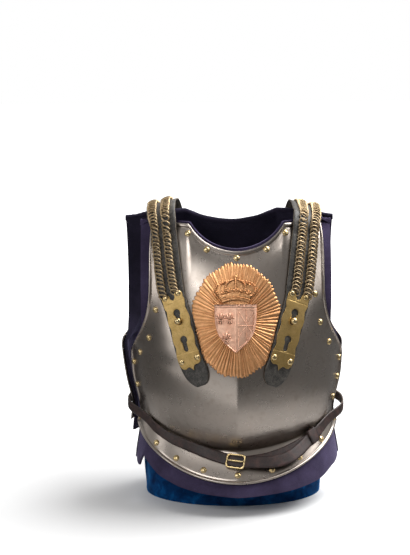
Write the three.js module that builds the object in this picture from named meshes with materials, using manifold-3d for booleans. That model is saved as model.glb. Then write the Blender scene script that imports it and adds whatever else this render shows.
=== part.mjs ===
// A cavalry cuirass, breast and back, on an oval display block covered with velvet.
// Millimetres, +Z up. The breast faces -Y, and the wearer's right side is at -X.
import * as THREE from "three";
import { mergeVertices } from "three/addons/utils/BufferGeometryUtils.js";
import Module from "manifold-3d";

const wasm = await Module();
wasm.setup();

// Driving dimensions
const steelWall = 2;
const liningWall = 3.2;
const liningLift = 1; // how far a lining lies off the steel
const gap = 0.3; // between pieces that lie on each other
const rimBead = 1.6; // how much the turned edge stands over the steel wall
const rivetRadius = 5.4;
const rivetHeight = 3.4;
const strapWidth = 50;
const strapWall = 2.5;
const chainWidth = 17.5;
const chainThickness = 5.2;
const chainPlaces = { outer: 14.6, inner: -8.4 }; // from the middle of the strap outwards
const brassWall = 1.8;
const keyholeRadius = 6.3;
const keyholeSlot = 3.9; // half the width of the slot under a keyhole
const keyholeLength = 20; // from the middle of the round hole to the end of its slot
const beltWidth = 16.5;
const beltWall = 3;
const sunburst = { x: -1.7, z: 331.5, halfWidth: 74.4, halfHeight: 90.5, rays: 36, wall: 1.6 };
const shield = { x: -2.5, z: 318.8, halfWidth: 33.8, halfHeight: 35.5, wall: 2.6 };
const crown = { x: -2.3, z: 380, halfWidth: 33.5, halfHeight: 21, wall: 3 };
const neckCut = { front: { radius: 88, depth: 47 }, back: { radius: 145, depth: 24 } };
const cellsAcross = { breast: 20, back: 16, breastLining: 11, backLining: 9 };
const backShift = -8; // how far the backplate sits towards the wearer's right
// Where the linings end at the arm holes, from the middle of their plate, and how far at least past the steel
const liningReach = {
  breast: { right: 160, left: 158, least: 8 },
  back: { right: 181, left: 174, least: 5 },
};
const liningSetBack = 5; // how much further in than the steel that edge lies
const standFoot = { x: -7, halfWidth: 153, front: 96, back: 88 };

const steel = { color: 0x9a9792, metalness: 1, roughness: 0.2 };
const brass = { color: 0xb9924a, metalness: 1, roughness: 0.3 };
const copper = { color: 0xc98a5e, metalness: 1, roughness: 0.35 };
const roseCopper = { color: 0xdba98c, metalness: 1, roughness: 0.35 };
const lining = { color: 0x3b3250, metalness: 0, roughness: 0.95 };
const blackLeather = { color: 0x3a3434, metalness: 0, roughness: 0.6 };
const brownLeather = { color: 0x4a3432, metalness: 0, roughness: 0.5 };
const velvet = { color: 0x06326e, metalness: 0, roughness: 0.95 };

// Rows of a plate from its shoulders down to its rim. sideZ and middleZ are the heights of the row's ends
// and of its middle, halfWidth is half its width, depth and edge say how far its middle and its ends stand
// out from the shoulder line, bend is how far round the section turns, in degrees, keel is the height of the
// ridge down the middle (of the spinal channel where it is negative), and flare is how far the ends turn out.
const rowColumns = ["sideZ", "middleZ", "halfWidth", "depth", "edge", "bend", "keel", "flare"];
const breastRows = named(rowColumns, [
  [482, 439, 135, 103, 34, 58, 0, 4],
  [470, 429, 137, 105, 43, 57, 0, 4],
  [452, 413, 139, 113, 55, 56, 0, 4],
  [424, 391, 140, 123, 68, 55, 0, 4],
  [392, 364, 140, 134, 79, 54, 0, 4],
  [360, 337, 141, 145, 84, 55, 1, 4],
  [330, 311, 146, 153.5, 80, 58, 3, 4],
  [302, 286, 155, 160, 67, 64, 5.5, 4.5],
  [276, 261, 166, 164.5, 42, 73, 8, 5.5],
  [254, 238, 171, 166.5, 3, 88, 9.5, 8],
  [232, 212, 170, 166, 0, 90, 11, 9],
  [208, 180, 168, 161, 0, 90, 11.5, 9],
  [186, 148, 165, 149, 0, 90, 11, 7],
  [170, 125, 163, 134, 0, 90, 10, 5],
  [158, 109, 162, 121, 0, 90, 8, 4],
  [152, 103, 162, 118, 0, 90, 7, 3],
  [146, 95, 162, 122, 0, 90, 6, 3],
  [134, 76, 165, 134.5, 0, 90, 4, 3],
  [121, 55, 168, 150, 0, 90, 2, 3],
]);
const backRows = named(rowColumns, [
  [482, 461, 145, 84, 26, 60, 0, 3],
  [468, 448, 148, 96, 38, 60, -2, 3],
  [444, 424, 151, 110, 52, 60, -5, 3],
  [408, 390, 153, 121, 62, 60, -7, 3],
  [368, 352, 153, 127, 66, 60, -8, 3],
  [332, 320, 156, 129, 61, 62, -8, 3],
  [302, 292, 164, 128, 46, 68, -8, 3],
  [280, 270, 176, 126, 18, 80, -8, 3],
  [266, 254, 184, 124, 4, 90, -8, 3],
  [234, 220, 182, 117, 4, 90, -8, 3],
  [200, 184, 177, 106, 4, 90, -7, 3],
  [174, 156, 171, 96, 4, 90, -5, 3],
  [158, 139, 168, 92, 4, 90, -4, 3],
  [148, 128, 168, 96, 4, 90, -3, 3],
  [125, 100, 171, 112, 4, 90, -2, 3],
]);

// The lower edge of the breast lining, which hangs past the flange: the height at each place across it.
const liningHem = named(["across", "height"], [
  [-1, 58],
  [-0.84, 55],
  [-0.74, 82],
  [-0.55, 58],
  [-0.38, 46],
  [-0.24, 40],
  [0, 35],
  [0.14, 37],
  [0.34, 40],
  [0.57, 47],
  [0.74, 60],
  [1, 66],
]);

// Stations of the shoulder straps' middle lines, from the tip on the breast to the end on the back. Those on a
// plate are places across and up; those over the shoulder are across, back, up, and the slope outwards.
const strapStations = {
  right: {
    breast: [[57, 226], [64, 243], [74.5, 264], [82, 289], [89.5, 319], [98.5, 350], [108, 380], [113, 415],
      [116, 442], [118, 460]],
    shoulder: [[121, -68, 483, 0.6], [124.5, -50, 495, 0.35], [126, -20, 503, 0.22], [126, 10, 504, 0.22],
      [122, 44, 498, 0.3], [117, 70, 485, 0.45]],
    back: [[110, 456], [103, 434], [96, 408]],
  },
  left: {
    breast: [[55, 225], [61, 243], [69.5, 264], [77, 289], [85.5, 319], [94.5, 350], [102, 380], [107, 415],
      [110, 442], [112.5, 460]],
    shoulder: [[115, -68, 482, 0.6], [118, -50, 491, 0.35], [119, -20, 497, 0.22], [119, 10, 498, 0.22],
      [116, 44, 494, 0.3], [111, 70, 483, 0.45]],
    back: [[104, 456], [98, 434], [92, 408]],
  },
};
const shoulderMiddle = { y: -2, z: 440 }; // what the strap turns round
const strapEnds = { lobes: 371, foot: 256 }; // heights on the breast where the brass plate starts and ends

// Half the width of a keyhole plate from its lobes down to its foot.
const strapPlateRows = named(["along", "halfWidth"], [
  [0, 15],
  [0.04, 18.5],
  [0.12, 20.5],
  [0.22, 17.8],
  [0.34, 20.4],
  [0.46, 18.6],
  [0.6, 20.3],
  [0.72, 18.2],
  [0.82, 20.6],
  [0.94, 20.8],
  [0.98, 16],
  [1, 9],
]);

// Where the two keyholes of a plate and the stud are, as shares of its length from the lobes.
const keyholeAlong = [0.27, 0.63];
const studAlong = 0.385;

// Rivets of the breastplate: those of its face by across and up, those of its sides by side and height.
const faceRivets = {
  neck: [{ x: -80, z: 467 }, { x: -49, z: 442 }, { x: 0, z: 429 }, { x: 49, z: 442 }, { x: 80, z: 467 }],
  arm_right: [{ x: -134, z: 341 }, { x: -146, z: 291 }, { x: -163, z: 258 }],
  arm_left: [{ x: 129, z: 366 }, { x: 138, z: 318 }, { x: 154, z: 280 }],
};
const sideRivets = { right: [232, 192, 135], left: [238, 204, 168, 130] };
const flangeRivets = [-137, -103, -57, 0, 57, 104, 142]; // places across the flange, a little above its rim

// Outlines of the shield and the crown, from the top down: each row's half width and height as shares of the
// whole, and how far its middle stands over its ends.
const shieldRows = named(["up", "halfWidth", "arch"], [
  [1, 1, 0],
  [0.94, 1, 0],
  [0.5, 0.985, 0],
  [0.1, 0.93, 0],
  [-0.25, 0.8, 0],
  [-0.55, 0.56, 0],
  [-0.8, 0.27, 0],
  [-1, 0.03, 0],
]);
const crownRows = named(["up", "halfWidth", "arch"], [
  [0.88, 0.12, 0.12],
  [0.62, 0.14, 0.05],
  [0.42, 0.42, 0.14],
  [0.25, 0.8, 0.2],
  [0, 1, 0.2],
  [-0.4, 0.9, 0.2],
  [-0.62, 0.7, 0.22],
  [-1, 0.64, 0.22],
]);

// The waist belt's stations from the buckle backwards: turn is the angle round the body from the front, and
// where turn is given the belt lies on the steel; elsewhere it bridges from the breast to the back.
const beltStations = {
  right: [
    { turn: 0, z: 89.5 },
    { turn: 11, z: 93.5 },
    { turn: 24, z: 100.5 },
    { turn: 38, z: 110 },
    { turn: 52, z: 119.5 },
    { turn: 64, z: 131 },
    { turn: 75, z: 142 },
    { x: 182, y: -10, z: 153 },
    { x: 187, y: 10, z: 158.5 },
    { x: 180, y: 31, z: 161 },
    { x: 165, y: 47, z: 161 },
    { turn: 116, z: 160 },
    { turn: 124, z: 158 },
  ],
  left: [
    { turn: 0, z: 88 },
    { turn: 12, z: 89 },
    { turn: 24, z: 92 },
    { turn: 38, z: 99.5 },
    { turn: 52, z: 111 },
    { turn: 64, z: 126 },
    { turn: 75, z: 138 },
    { x: 180, y: -10, z: 148 },
    { x: 182, y: 10, z: 157 },
    { x: 172, y: 31, z: 161 },
    { x: 156, y: 47, z: 161 },
    { turn: 116, z: 160 },
    { turn: 124, z: 158 },
  ],
};
// The right half goes through the buckle and ends on top of the left half: how much lower than that it hangs.
const freeEnd = named(["x", "drop"], [
  [16, 2],
  [36, 6.5],
  [56, 11],
  [76, 11.5],
  [92, 7.5],
  [106, 3],
  [118, 0],
  [134, -0.5],
]);
const beltLift = 1.4; // off the steel
const buckle = { halfLength: 16.5, halfHeight: 12.5, bar: 3.2, wall: 2.8, x: -3, tilt: -10 };
const keeper = { x: 115, length: 15, wall: 1.8, room: 2.2 };

function named(columns, table) {
  return table.map((row) => Object.fromEntries(columns.map((name, i) => [name, row[i]])));
}

function add(name, geometry, finish) {
  const mesh = new THREE.Mesh(geometry, new THREE.MeshStandardMaterial(finish));
  mesh.name = name;
  cuirass.add(mesh);
  mesh.updateMatrixWorld(true);
  return mesh;
}

// The value of one column at a place between the rows of a table, on straight lines.
function between(table, key, place, column) {
  const next = Math.max(1, table.findIndex((row) => row[key] >= place));
  const [a, b] = [table[next - 1], table[next]];
  return THREE.MathUtils.mapLinear(place, a[key], b[key], a[column], b[column]);
}

// Moves each corner of a geometry to where place(x, y, z) says, and merges the corners that meet.
function shaped(geometry, place) {
  for (const name of ["normal", "uv"]) geometry.deleteAttribute(name);
  const corners = geometry.getAttribute("position");
  for (let i = 0; i < corners.count; i++) {
    const to = place(corners.getX(i), corners.getY(i), corners.getZ(i));
    corners.setXYZ(i, to.x, to.y, to.z);
  }
  return mergeVertices(geometry, 1e-3);
}

// A thin wall of cells: place(across, down, layer) puts each corner, all three running from 0 to 1 and layer
// from the wall's back to its face.
function wall(cellsAcross, cellsDown, place) {
  const slab = new THREE.BoxGeometry(1, 1, 1, cellsAcross, cellsDown, 1);
  return shaped(slab, (x, y, z) => place(x + 0.5, 0.5 - y, z + 0.5));
}

// A closed disc of rings round a middle: place(angle, radius, layer) puts each corner, radius from 0 to 1.
function disc(sectors, rings, place) {
  const outline = [new THREE.Vector2(0, 0)];
  for (let i = 1; i <= rings; i++) outline.push(new THREE.Vector2(i / rings, 0));
  for (let i = rings; i > 0; i--) outline.push(new THREE.Vector2(i / rings, 1));
  outline.push(new THREE.Vector2(0, 1));
  return shaped(new THREE.LatheGeometry(outline, sectors), (x, y, z) =>
    place(Math.atan2(x, -z), Math.hypot(x, z), y),
  );
}

function solid(geometry) {
  const merged = mergeVertices(geometry, 1e-3);
  return new wasm.Manifold(
    new wasm.Mesh({
      numProp: 3,
      vertProperties: merged.getAttribute("position").array,
      triVerts: new Uint32Array(merged.index.array),
    }),
  );
}

function bare(geometry) {
  for (const name of ["normal", "uv"]) geometry.deleteAttribute(name);
  return geometry;
}

function geometryOf(manifold) {
  const mesh = manifold.getMesh();
  return new THREE.BufferGeometry()
    .setAttribute("position", new THREE.BufferAttribute(mesh.vertProperties, 3))
    .setIndex(new THREE.BufferAttribute(mesh.triVerts, 1));
}

function largest(manifold) {
  return manifold.decompose().sort((a, b) => b.volume() - a.volume())[0];
}

// The place and the outward direction at which a line from far off first meets a mesh.
function seat(mesh, from, towards) {
  const line = new THREE.Raycaster(from, towards.clone().normalize());
  const hit = line.intersectObject(mesh)[0];
  if (!hit) throw new Error(`nothing of ${mesh.name} lies along ${from.toArray()}`);
  return { point: hit.point, out: hit.face.normal.clone() };
}

function seatFront(mesh, x, z) {
  return seat(mesh, new THREE.Vector3(x, -600, z), new THREE.Vector3(0, 1, 0));
}

function seatBack(mesh, x, z) {
  return seat(mesh, new THREE.Vector3(x, 600, z), new THREE.Vector3(0, -1, 0));
}

// The direction that a plate faces round a point, evened out over a few cells.
function facing(seatAt, x, z) {
  const reach = 9;
  const across = seatAt(x + reach, z).point.sub(seatAt(x - reach, z).point);
  const up = seatAt(x, z + reach).point.sub(seatAt(x, z - reach).point);
  const out = across.cross(up).normalize();
  return out.multiplyScalar(Math.sign(out.dot(seatAt(x, z).out)));
}

// Plates and linings

// A point of a plate's inner face, with across from -1 to 1 between the row's two ends.
function platePoint(row, across, neck) {
  const turn = THREE.MathUtils.degToRad(row.bend);
  const angle = turn * across;
  const nearEnd = Math.max(0, (Math.abs(across) - 0.84) / 0.16) ** 2;
  const x = (row.halfWidth * Math.sin(angle)) / Math.sin(turn) + Math.sign(across) * row.flare * nearEnd;
  const round = (Math.cos(angle) - Math.cos(turn)) / (1 - Math.cos(turn));
  const ridge = row.keel > 0 ? Math.max(0, 1 - Math.abs(x) / 105) ** 2 : Math.max(0, 1 - (x / 42) ** 2) ** 2;
  const y = row.edge + (row.depth - row.keel - row.edge) * round + row.keel * ridge;
  const arc = neck.radius - Math.sqrt(Math.max(0, neck.radius ** 2 - x ** 2));
  const neckDip = Math.max(0, 1 - arc / neck.depth);
  const waistDip = Math.max(0, Math.cos((across * Math.PI) / 2)) ** 1.5;
  const upper = THREE.MathUtils.smoothstep(row.sideZ, 330, 470);
  const dip = THREE.MathUtils.lerp(waistDip, neckDip, upper);
  return new THREE.Vector3(x, -y, row.sideZ - (row.sideZ - row.middleZ) * dip);
}

// A point over or under a plate, measured square to it.
function overPlate(rows, index, across, neck, lift) {
  const above = platePoint(rows[Math.max(0, index - 1)], across, neck);
  const below = platePoint(rows[Math.min(rows.length - 1, index + 1)], across, neck);
  const right = platePoint(rows[index], across + 0.02, neck);
  const left = platePoint(rows[index], across - 0.02, neck);
  const out = right.sub(left).cross(above.sub(below)).normalize();
  return platePoint(rows[index], across, neck).addScaledVector(out, lift);
}

// Where a column of cells stands across a plate: the two end cells are narrow, for the turned edge.
function columnPlace(column, cells) {
  if (column === 0 || column === cells) return column ? 1 : -1;
  return THREE.MathUtils.mapLinear(column, 1, cells - 1, -0.965, 0.965);
}

function plateWall(rows, cells, neck, extra = { under: 0, over: 0 }) {
  const last = rows.length - 1;
  return wall(cells, last, (u, v, layer) => {
    const across = columnPlace(Math.round(u * cells), cells);
    const index = Math.round(v * last);
    const bead = [0, last].includes(index) || Math.abs(across) === 1 ? rimBead : 0;
    return overPlate(rows, index, across, neck, layer ? steelWall + bead + extra.over : -extra.under);
  });
}

// The steel of a plate, and the space round it that its neighbours keep out of.
function plate(name, rows, cells, neck, angle, shift) {
  const placed = (extra) => plateWall(rows, cells, neck, extra).rotateZ(angle).translate(shift, 0, 0);
  const mesh = add(name, placed(), steel);
  return { mesh, under: solid(placed({ under: gap, over: 0 })), over: solid(placed({ under: 5, over: gap })) };
}

// A lining follows its plate inside it, and reaches past the steel at the shoulders, arm holes and hem. The
// reach of its two sides is given as seen from in front of the plate.
function liningOf(rows, hem, neck, hemHeight, cells, reach) {
  const top = { ...rows[0], sideZ: rows[0].sideZ + 3, middleZ: rows[0].middleZ + 4 };
  const kept = rows.filter((row, i) => i % 2 === 0 || row.sideZ < 180);
  const all = [top, ...kept, hem].map((row) => ({ ...row, flare: 0 }));
  const last = all.length - 1;
  return wall(cells + 2, last, (u, v, layer) => {
    const index = Math.round(v * last);
    const row = all[index];
    const column = Math.round(u * (cells + 2)) - 1;
    const lift = layer ? -liningLift : -liningLift - liningWall;
    const beyond = column < 0 || column > cells;
    const side = Math.sign(u - 0.5);
    if (beyond && row.edge > 8) {
      const edge = platePoint(row, side, neck);
      const out = Math.max(side < 0 ? reach.right : reach.left, row.halfWidth + reach.least);
      return edge.set(side * out, edge.y + liningSetBack - lift, edge.z - (index ? 0 : 12));
    }
    const across = beyond ? side * 1.006 : columnPlace(column, cells);
    const point = overPlate(all, index, across, neck, lift);
    if (index === last) point.z = hemHeight(across);
    return point;
  });
}

function linings() {
  const breastHem = { ...breastRows.at(-1), sideZ: 60, middleZ: 38, halfWidth: 177, depth: 157 };
  const hemHeight = (across) => between(liningHem, "across", across, "height");
  const cells = { breast: cellsAcross.breastLining, back: cellsAcross.backLining };
  const breast = liningOf(breastRows, breastHem, neckCut.front, hemHeight, cells.breast, liningReach.breast);
  add("breast_lining", geometryOf(largest(solid(breast).subtract(front.under))), lining);
  const backHem = { ...backRows.at(-1), sideZ: 108, middleZ: 84, halfWidth: 173, depth: 120 };
  const backHemHeight = (across) => backHem.sideZ - 24 * Math.cos((across * Math.PI) / 2);
  // Seen from behind, the wearer's left is at -X.
  const turned = { ...liningReach.back, right: liningReach.back.left, left: liningReach.back.right };
  const back = liningOf(backRows, backHem, neckCut.back, backHemHeight, cells.back, turned);
  const placed = back.rotateZ(Math.PI).translate(backShift, 0, 0);
  add("back_lining", geometryOf(largest(solid(placed).subtract(rear.under))), lining);
}

// Rivets

// A frame on a seat: its Y axis points out of the surface, and its Z axis points as far down as it can.
function standingOn(place, lift) {
  const side = place.out.clone().cross(new THREE.Vector3(0, 0, -1)).normalize();
  return new THREE.Matrix4()
    .makeBasis(side, place.out, side.clone().cross(place.out))
    .setPosition(place.point.clone().addScaledVector(place.out, lift));
}

// A turned piece from its outline, a list of radius and height, standing on a seat.
function turnedPiece(outline, sides, place, lift) {
  const profile = outline.map(([radius, height]) => new THREE.Vector2(radius, height));
  return bare(new THREE.LatheGeometry(profile, sides)).applyMatrix4(standingOn(place, lift));
}

function rivetHead(place, lift) {
  const outline = [
    [0, -lift],
    [rivetRadius, -lift],
    [rivetRadius, 1],
    [rivetRadius * 0.68, rivetHeight * 0.82],
    [0, rivetHeight],
  ];
  return turnedPiece(outline, 6, place, 0);
}

// A piece that sits on a plate: what would reach into the steel is cut away.
function seated(name, geometry, finish, plateUnder = front) {
  return add(name, geometryOf(solid(geometry).subtract(plateUnder.over)), finish);
}

function rivets() {
  for (const [name, places] of Object.entries(faceRivets)) {
    places.forEach(({ x, z }, i) => {
      seated(`rivet_${name}_${i + 1}`, rivetHead(seatFront(front.mesh, x, z), 0.8), brass);
    });
  }
  for (const [name, heights] of Object.entries(sideRivets)) {
    const side = name === "left" ? 1 : -1;
    heights.forEach((z, i) => {
      const from = new THREE.Vector3(side * 600, -10, z);
      const place = seat(front.mesh, from, new THREE.Vector3(-side, 0, 0));
      seated(`rivet_side_${name}_${i + 1}`, rivetHead(place, 0.8), brass);
    });
  }
  const rim = breastRows.at(-1);
  flangeRivets.forEach((x, i) => {
    const across = (Math.asin(x / rim.halfWidth) * 2) / Math.PI;
    const z = platePoint(rim, across, neckCut.front).z + 15;
    seated(`rivet_flange_${i + 1}`, rivetHead(seatFront(front.mesh, x, z), 0.8), brass);
  });
}

// Plaque

// A point over the breast, off the steel along the way that the breast faces there.
function overBreast(x, z, lift) {
  const { point } = seatFront(front.mesh, x, z);
  const out = facing((a, b) => seatFront(front.mesh, a, b), x, z);
  return point.addScaledVector(out, lift);
}

// How far from the middle the inner edge of a strap is, a little off it.
function strapEdge(name, z) {
  const line = strapStations[name].breast;
  const next = Math.max(1, line.findIndex(([, height]) => height >= z));
  const [[x1, z1], [x2, z2]] = [line[next - 1], line[next]];
  const slope = (x2 - x1) / (z2 - z1);
  return x1 + slope * (z - z1) - (strapWidth / 2 + 1.6) * Math.hypot(1, slope);
}

function plaque() {
  const rays = disc(sunburst.rays * 2, 3, (angle, radius, layer) => {
    const ray = Math.round((angle * sunburst.rays) / Math.PI);
    const ridge = ray % 2 ? 0 : 1;
    const reach = radius * (1 - (1 - ridge) * 0.045 * Math.max(0, radius - 0.7) * 3.3);
    const z = sunburst.z + sunburst.halfHeight * reach * Math.cos(angle);
    const across = sunburst.x + sunburst.halfWidth * reach * Math.sin(angle);
    const x = THREE.MathUtils.clamp(across, -strapEdge("right", z), strapEdge("left", z));
    const crest = ridge && radius > 0.3 ? 0.8 : 0;
    return overBreast(x, z, layer ? sunburst.wall + crest : -0.9);
  });
  seated("sunburst", rays, copper);
  add("shield", relief(shield, shieldRows, 8, sunburst.wall + 1.6), roseCopper);
  add("crown", relief(crown, crownRows, 8, sunburst.wall + 1.6), copper);
}

// A cast piece with an outline from a table, laid over the sunburst.
function relief(size, outline, cells, lift) {
  return wall(cells, outline.length - 1, (u, v, layer) => {
    const row = outline[Math.round(v * (outline.length - 1))];
    const across = 2 * u - 1;
    const x = size.x + size.halfWidth * row.halfWidth * across;
    const z = size.z + size.halfHeight * (row.up + row.arch * (1 - across ** 2));
    const crown = layer ? size.wall * (1 - 0.3 * Math.abs(across) ** 3) : 0;
    return overBreast(x, z, lift + crown);
  });
}

// Shoulder straps

// The route of a strap on one side: its length, and place(along, across, lift) over its middle line.
function strapRoute(side, stations) {
  const on = (seatAt, lift) => ([x, z]) => {
    const out = facing(seatAt, side * x, z);
    return { point: seatAt(side * x, z).point.addScaledVector(out, lift), out };
  };
  const over = ([x, y, z, tilt]) => {
    const out = new THREE.Vector3(0, y - shoulderMiddle.y, z - shoulderMiddle.z).normalize();
    out.x = side * tilt;
    return { point: new THREE.Vector3(side * x, y, z), out: out.normalize() };
  };
  const seats = [
    ...stations.breast.map(on((x, z) => seatFront(front.mesh, x, z), 1)),
    ...stations.shoulder.map(over),
    ...stations.back.map(on((x, z) => seatBack(rear.mesh, x, z), 2.4)),
  ];
  const middle = new THREE.CatmullRomCurve3(seats.map((s) => s.point));
  const outward = new THREE.CatmullRomCurve3(seats.map((s) => s.out));
  const length = middle.getLength();
  function frame(along) {
    const t = middle.getUtoTmapping(along);
    const way = middle.getTangent(t);
    const out = outward.getPoint(t);
    out.addScaledVector(way, -out.dot(way)).normalize();
    return { point: middle.getPoint(t), out, side: out.clone().cross(way) };
  }
  function place(along, across, lift) {
    const at = frame(along);
    return at.point.addScaledVector(at.side, across).addScaledVector(at.out, lift);
  }
  // The share of the length at which the strap first reaches a height on the breast.
  function alongAt(height) {
    let along = 0;
    while (middle.getPointAt(along).z < height) along += 0.002;
    return along;
  }
  return { length, frame, place, alongAt };
}

function shoulderStraps() {
  for (const [name, side] of [["right", -1], ["left", 1]]) {
    const route = strapRoute(side, strapStations[name]);
    const lobes = route.alongAt(strapEnds.lobes);
    const foot = route.alongAt(strapEnds.foot);
    const inPlate = (share) => THREE.MathUtils.lerp(lobes, foot, share);
    const plateLift = strapWall + gap;

    const stud = route.frame(inPlate(studAlong));
    const studHole = turnedPiece([[0, -4], [3.6, -4], [3.6, 12], [0, 12]], 6, stud, 0);
    const leather = solid(strapLeather(route)).subtract(solid(studHole));
    add(`strap_leather_${name}`, geometryOf(leather), blackLeather);

    const brassPlate = solid(keyholePlate(route, lobes, foot, plateLift));
    const keyholes = keyholeAlong.map((share) => solid(keyhole(route.frame(inPlate(share)))));
    const cut = keyholes.reduce((left, hole) => left.subtract(hole), brassPlate).subtract(solid(studHole));
    const plateMesh = add(`strap_plate_${name}`, geometryOf(cut), brass);

    const knob = [[0, -1], [2.8, -1], [2.8, 6], [5, 7.5], [5.8, 9.8], [4.4, 12.4], [0, 13.4]];
    seated(`strap_stud_${name}`, turnedPiece(knob, 8, stud, 0), brass);
    [[0.035, 0.52], [0.035, -0.52], [0.9, 0.6], [0.9, -0.6]].forEach(([share, across], i) => {
      const from = route.place(inPlate(share), across * strapWidth * 0.5, 30);
      const towards = route.frame(inPlate(share)).out.negate();
      const head = rivetHead(seat(plateMesh, from, towards), -gap);
      add(`strap_rivet_${name}_${i + 1}`, head, brass);
    });

    const clasp = wall(2, 2, (u, v, layer) =>
      route.place(0.9 + v / 15, (1 - 2 * u) * -strapWidth * 0.5, plateLift + 3 * gap + layer * brassWall),
    );
    add(`back_clasp_${name}`, clasp, brass);
    for (const [place, outwards] of Object.entries(chainPlaces)) {
      add(`chain_${name}_${place}`, chain(route, lobes + 0.012, 0.893, -side * outwards), brass);
    }
  }
}

function strapLeather(route) {
  const tip = 26 / route.length; // the rounded end of the leather
  return wall(2, 30, (u, v, layer) => {
    const fromTip = Math.max(0, 1 - v / tip);
    const halfWidth = strapWidth * 0.5 * Math.sqrt(1 - 0.86 * fromTip ** 2);
    return route.place(v, (2 * u - 1) * halfWidth, layer * strapWall);
  });
}

// The brass plate, from its two lobes down to its foot with a cusp in the middle.
function keyholePlate(route, lobes, foot, lift) {
  const last = strapPlateRows.length - 1;
  return wall(4, last, (u, v, layer) => {
    const row = strapPlateRows[Math.round(v * last)];
    const notch = v === 0 ? 5 * (1 - Math.abs(2 * u - 1) * 2) : 0;
    const cusp = v === 1 && u === 0.5 ? 5 : 0;
    const along = THREE.MathUtils.lerp(lobes, foot, row.along) - (Math.max(0, notch) + cusp) / route.length;
    return route.place(along, (1 - 2 * u) * row.halfWidth, lift + layer * brassWall);
  });
}

// The space of a keyhole: a round hole with a slot that runs down from it.
function keyhole(at) {
  const outline = new THREE.Shape();
  const meet = Math.asin(keyholeSlot / keyholeRadius);
  outline.absarc(0, 0, keyholeRadius, meet - Math.PI / 2, 1.5 * Math.PI - meet, false);
  outline.absarc(0, keyholeSlot - keyholeLength, keyholeSlot, Math.PI, 2 * Math.PI, false);
  const slot = new THREE.ExtrudeGeometry(outline, { depth: 12, bevelEnabled: false, curveSegments: 3 });
  const way = at.side.clone().cross(at.out);
  const frame = new THREE.Matrix4().makeBasis(at.side.clone().negate(), way, at.out.clone());
  frame.setPosition(at.point.clone());
  return bare(slot).applyMatrix4(frame);
}

function chain(route, start, end, offset) {
  const bar = new THREE.CylinderGeometry(1, 1, 1, 6, 20);
  const lift = strapWall + 5 * gap + chainThickness / 2;
  return shaped(bar, (x, y, z) => {
    const along = THREE.MathUtils.lerp(start, end, y + 0.5);
    return route.place(along, offset - (x * chainWidth) / 2, lift + (z * chainThickness) / 2);
  });
}

// Waist belt

// The first steel that a line towards the middle of the body meets, at an angle round it from the front.
function seatRound(turn, z) {
  const out = new THREE.Vector3(Math.sin(turn), -Math.cos(turn), 0);
  const from = out.clone().multiplyScalar(600).setZ(z);
  const line = new THREE.Raycaster(from, out.clone().negate());
  return { point: line.intersectObjects([front.mesh, rear.mesh])[0].point, out };
}

// The route of a belt's back. A station gives turn, or x and y, and the height z; side says which side of
// the body it is on, and lift how far off the steel it lies. Or it is a pair of points, of its two edges.
function beltRoute(stations) {
  const [upper, lower] = [1, -1].map((edge) => {
    const points = stations.map((station) => {
      if (Array.isArray(station)) return station[edge === 1 ? 0 : 1];
      const { turn, x, y, z, side, lift } = station;
      const height = z + (edge * beltWidth) / 2;
      if (turn === undefined) return new THREE.Vector3(side * x, y, height);
      const { point, out } = seatRound(side * THREE.MathUtils.degToRad(turn), height);
      return point.addScaledVector(out, lift);
    });
    return new THREE.CatmullRomCurve3(points);
  });
  function frame(along) {
    const t = upper.getUtoTmapping(along);
    const [top, bottom] = [upper.getPoint(t), lower.getPoint(t)];
    const up = top.clone().sub(bottom).normalize();
    const way = upper.getTangent(t);
    const out = way.cross(up).normalize();
    return { top, bottom, up, out, way: up.clone().cross(out) };
  }
  function place(along, across, lift) {
    const { top, bottom, out } = frame(along);
    return bottom.lerp(top, (across + 1) / 2).addScaledVector(out, lift);
  }
  // The share of the length at which the belt passes a place across the front.
  function alongAt(x) {
    let along = 0;
    while (upper.getPointAt(along).x < x || upper.getPointAt(along).y > 0) along += 0.002;
    return along;
  }
  return { frame, place, alongAt };
}

function beltStrap(route, cells) {
  return wall(cells, 1, (u, v, layer) => route.place(u, 1 - 2 * v, layer * beltWall));
}

// An outline in the plane square to one of a belt's ways, made solid and set on the belt.
function onBelt(outline, depth, axes, origin) {
  const body = new THREE.ExtrudeGeometry(outline, { depth, bevelEnabled: false, curveSegments: 2 });
  return bare(body).applyMatrix4(new THREE.Matrix4().makeBasis(...axes).setPosition(origin));
}

// Both halves run from -X to +X, so that their faces point out.
function waistBelt() {
  const rightHalf = beltStations.right.map((at) => ({ ...at, side: -1, lift: beltLift })).reverse();
  const leftHalf = beltStations.left.map((at) => ({ ...at, side: 1, lift: beltLift }));
  leftHalf[0] = { ...leftHalf[0], turn: 3 };
  const left = beltRoute(leftHalf);
  rightHalf[rightHalf.length - 1].lift = beltLift + beltWall + 2 * gap;
  const right = beltRoute([...rightHalf, ...freeEnd.map(({ x, drop }) => tongueEdges(left, x, drop))]);
  add("belt_right", beltStrap(right, 46), brownLeather);
  add("belt_left", beltStrap(left, 28), brownLeather);

  const at = right.frame(right.alongAt(buckle.x));
  const middle = at.bottom.clone().lerp(at.top, 0.5);
  const ring = roundedBox(buckle.halfLength, buckle.halfHeight, 7);
  ring.holes.push(roundedBox(buckle.halfLength - buckle.bar, buckle.halfHeight - buckle.bar, 4));
  const ringLift = beltWall + 2 * gap;
  const tilt = THREE.MathUtils.degToRad(buckle.tilt);
  const axes = [at.way.applyAxisAngle(at.out, tilt), at.up.applyAxisAngle(at.out, tilt), at.out];
  const ringPlace = middle.clone().addScaledVector(at.out, ringLift);
  add("buckle_frame", onBelt(ring, buckle.wall, axes, ringPlace), brass);
  const prong = roundedBox(buckle.halfLength, 1.6, 1.5);
  const prongPlace = ringPlace.clone().addScaledVector(at.out, buckle.wall + gap);
  add("buckle_prong", onBelt(prong, 2.4, axes, prongPlace), brass);

  seated("belt_keeper", keeperLoop(left), brownLeather);
}

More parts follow.
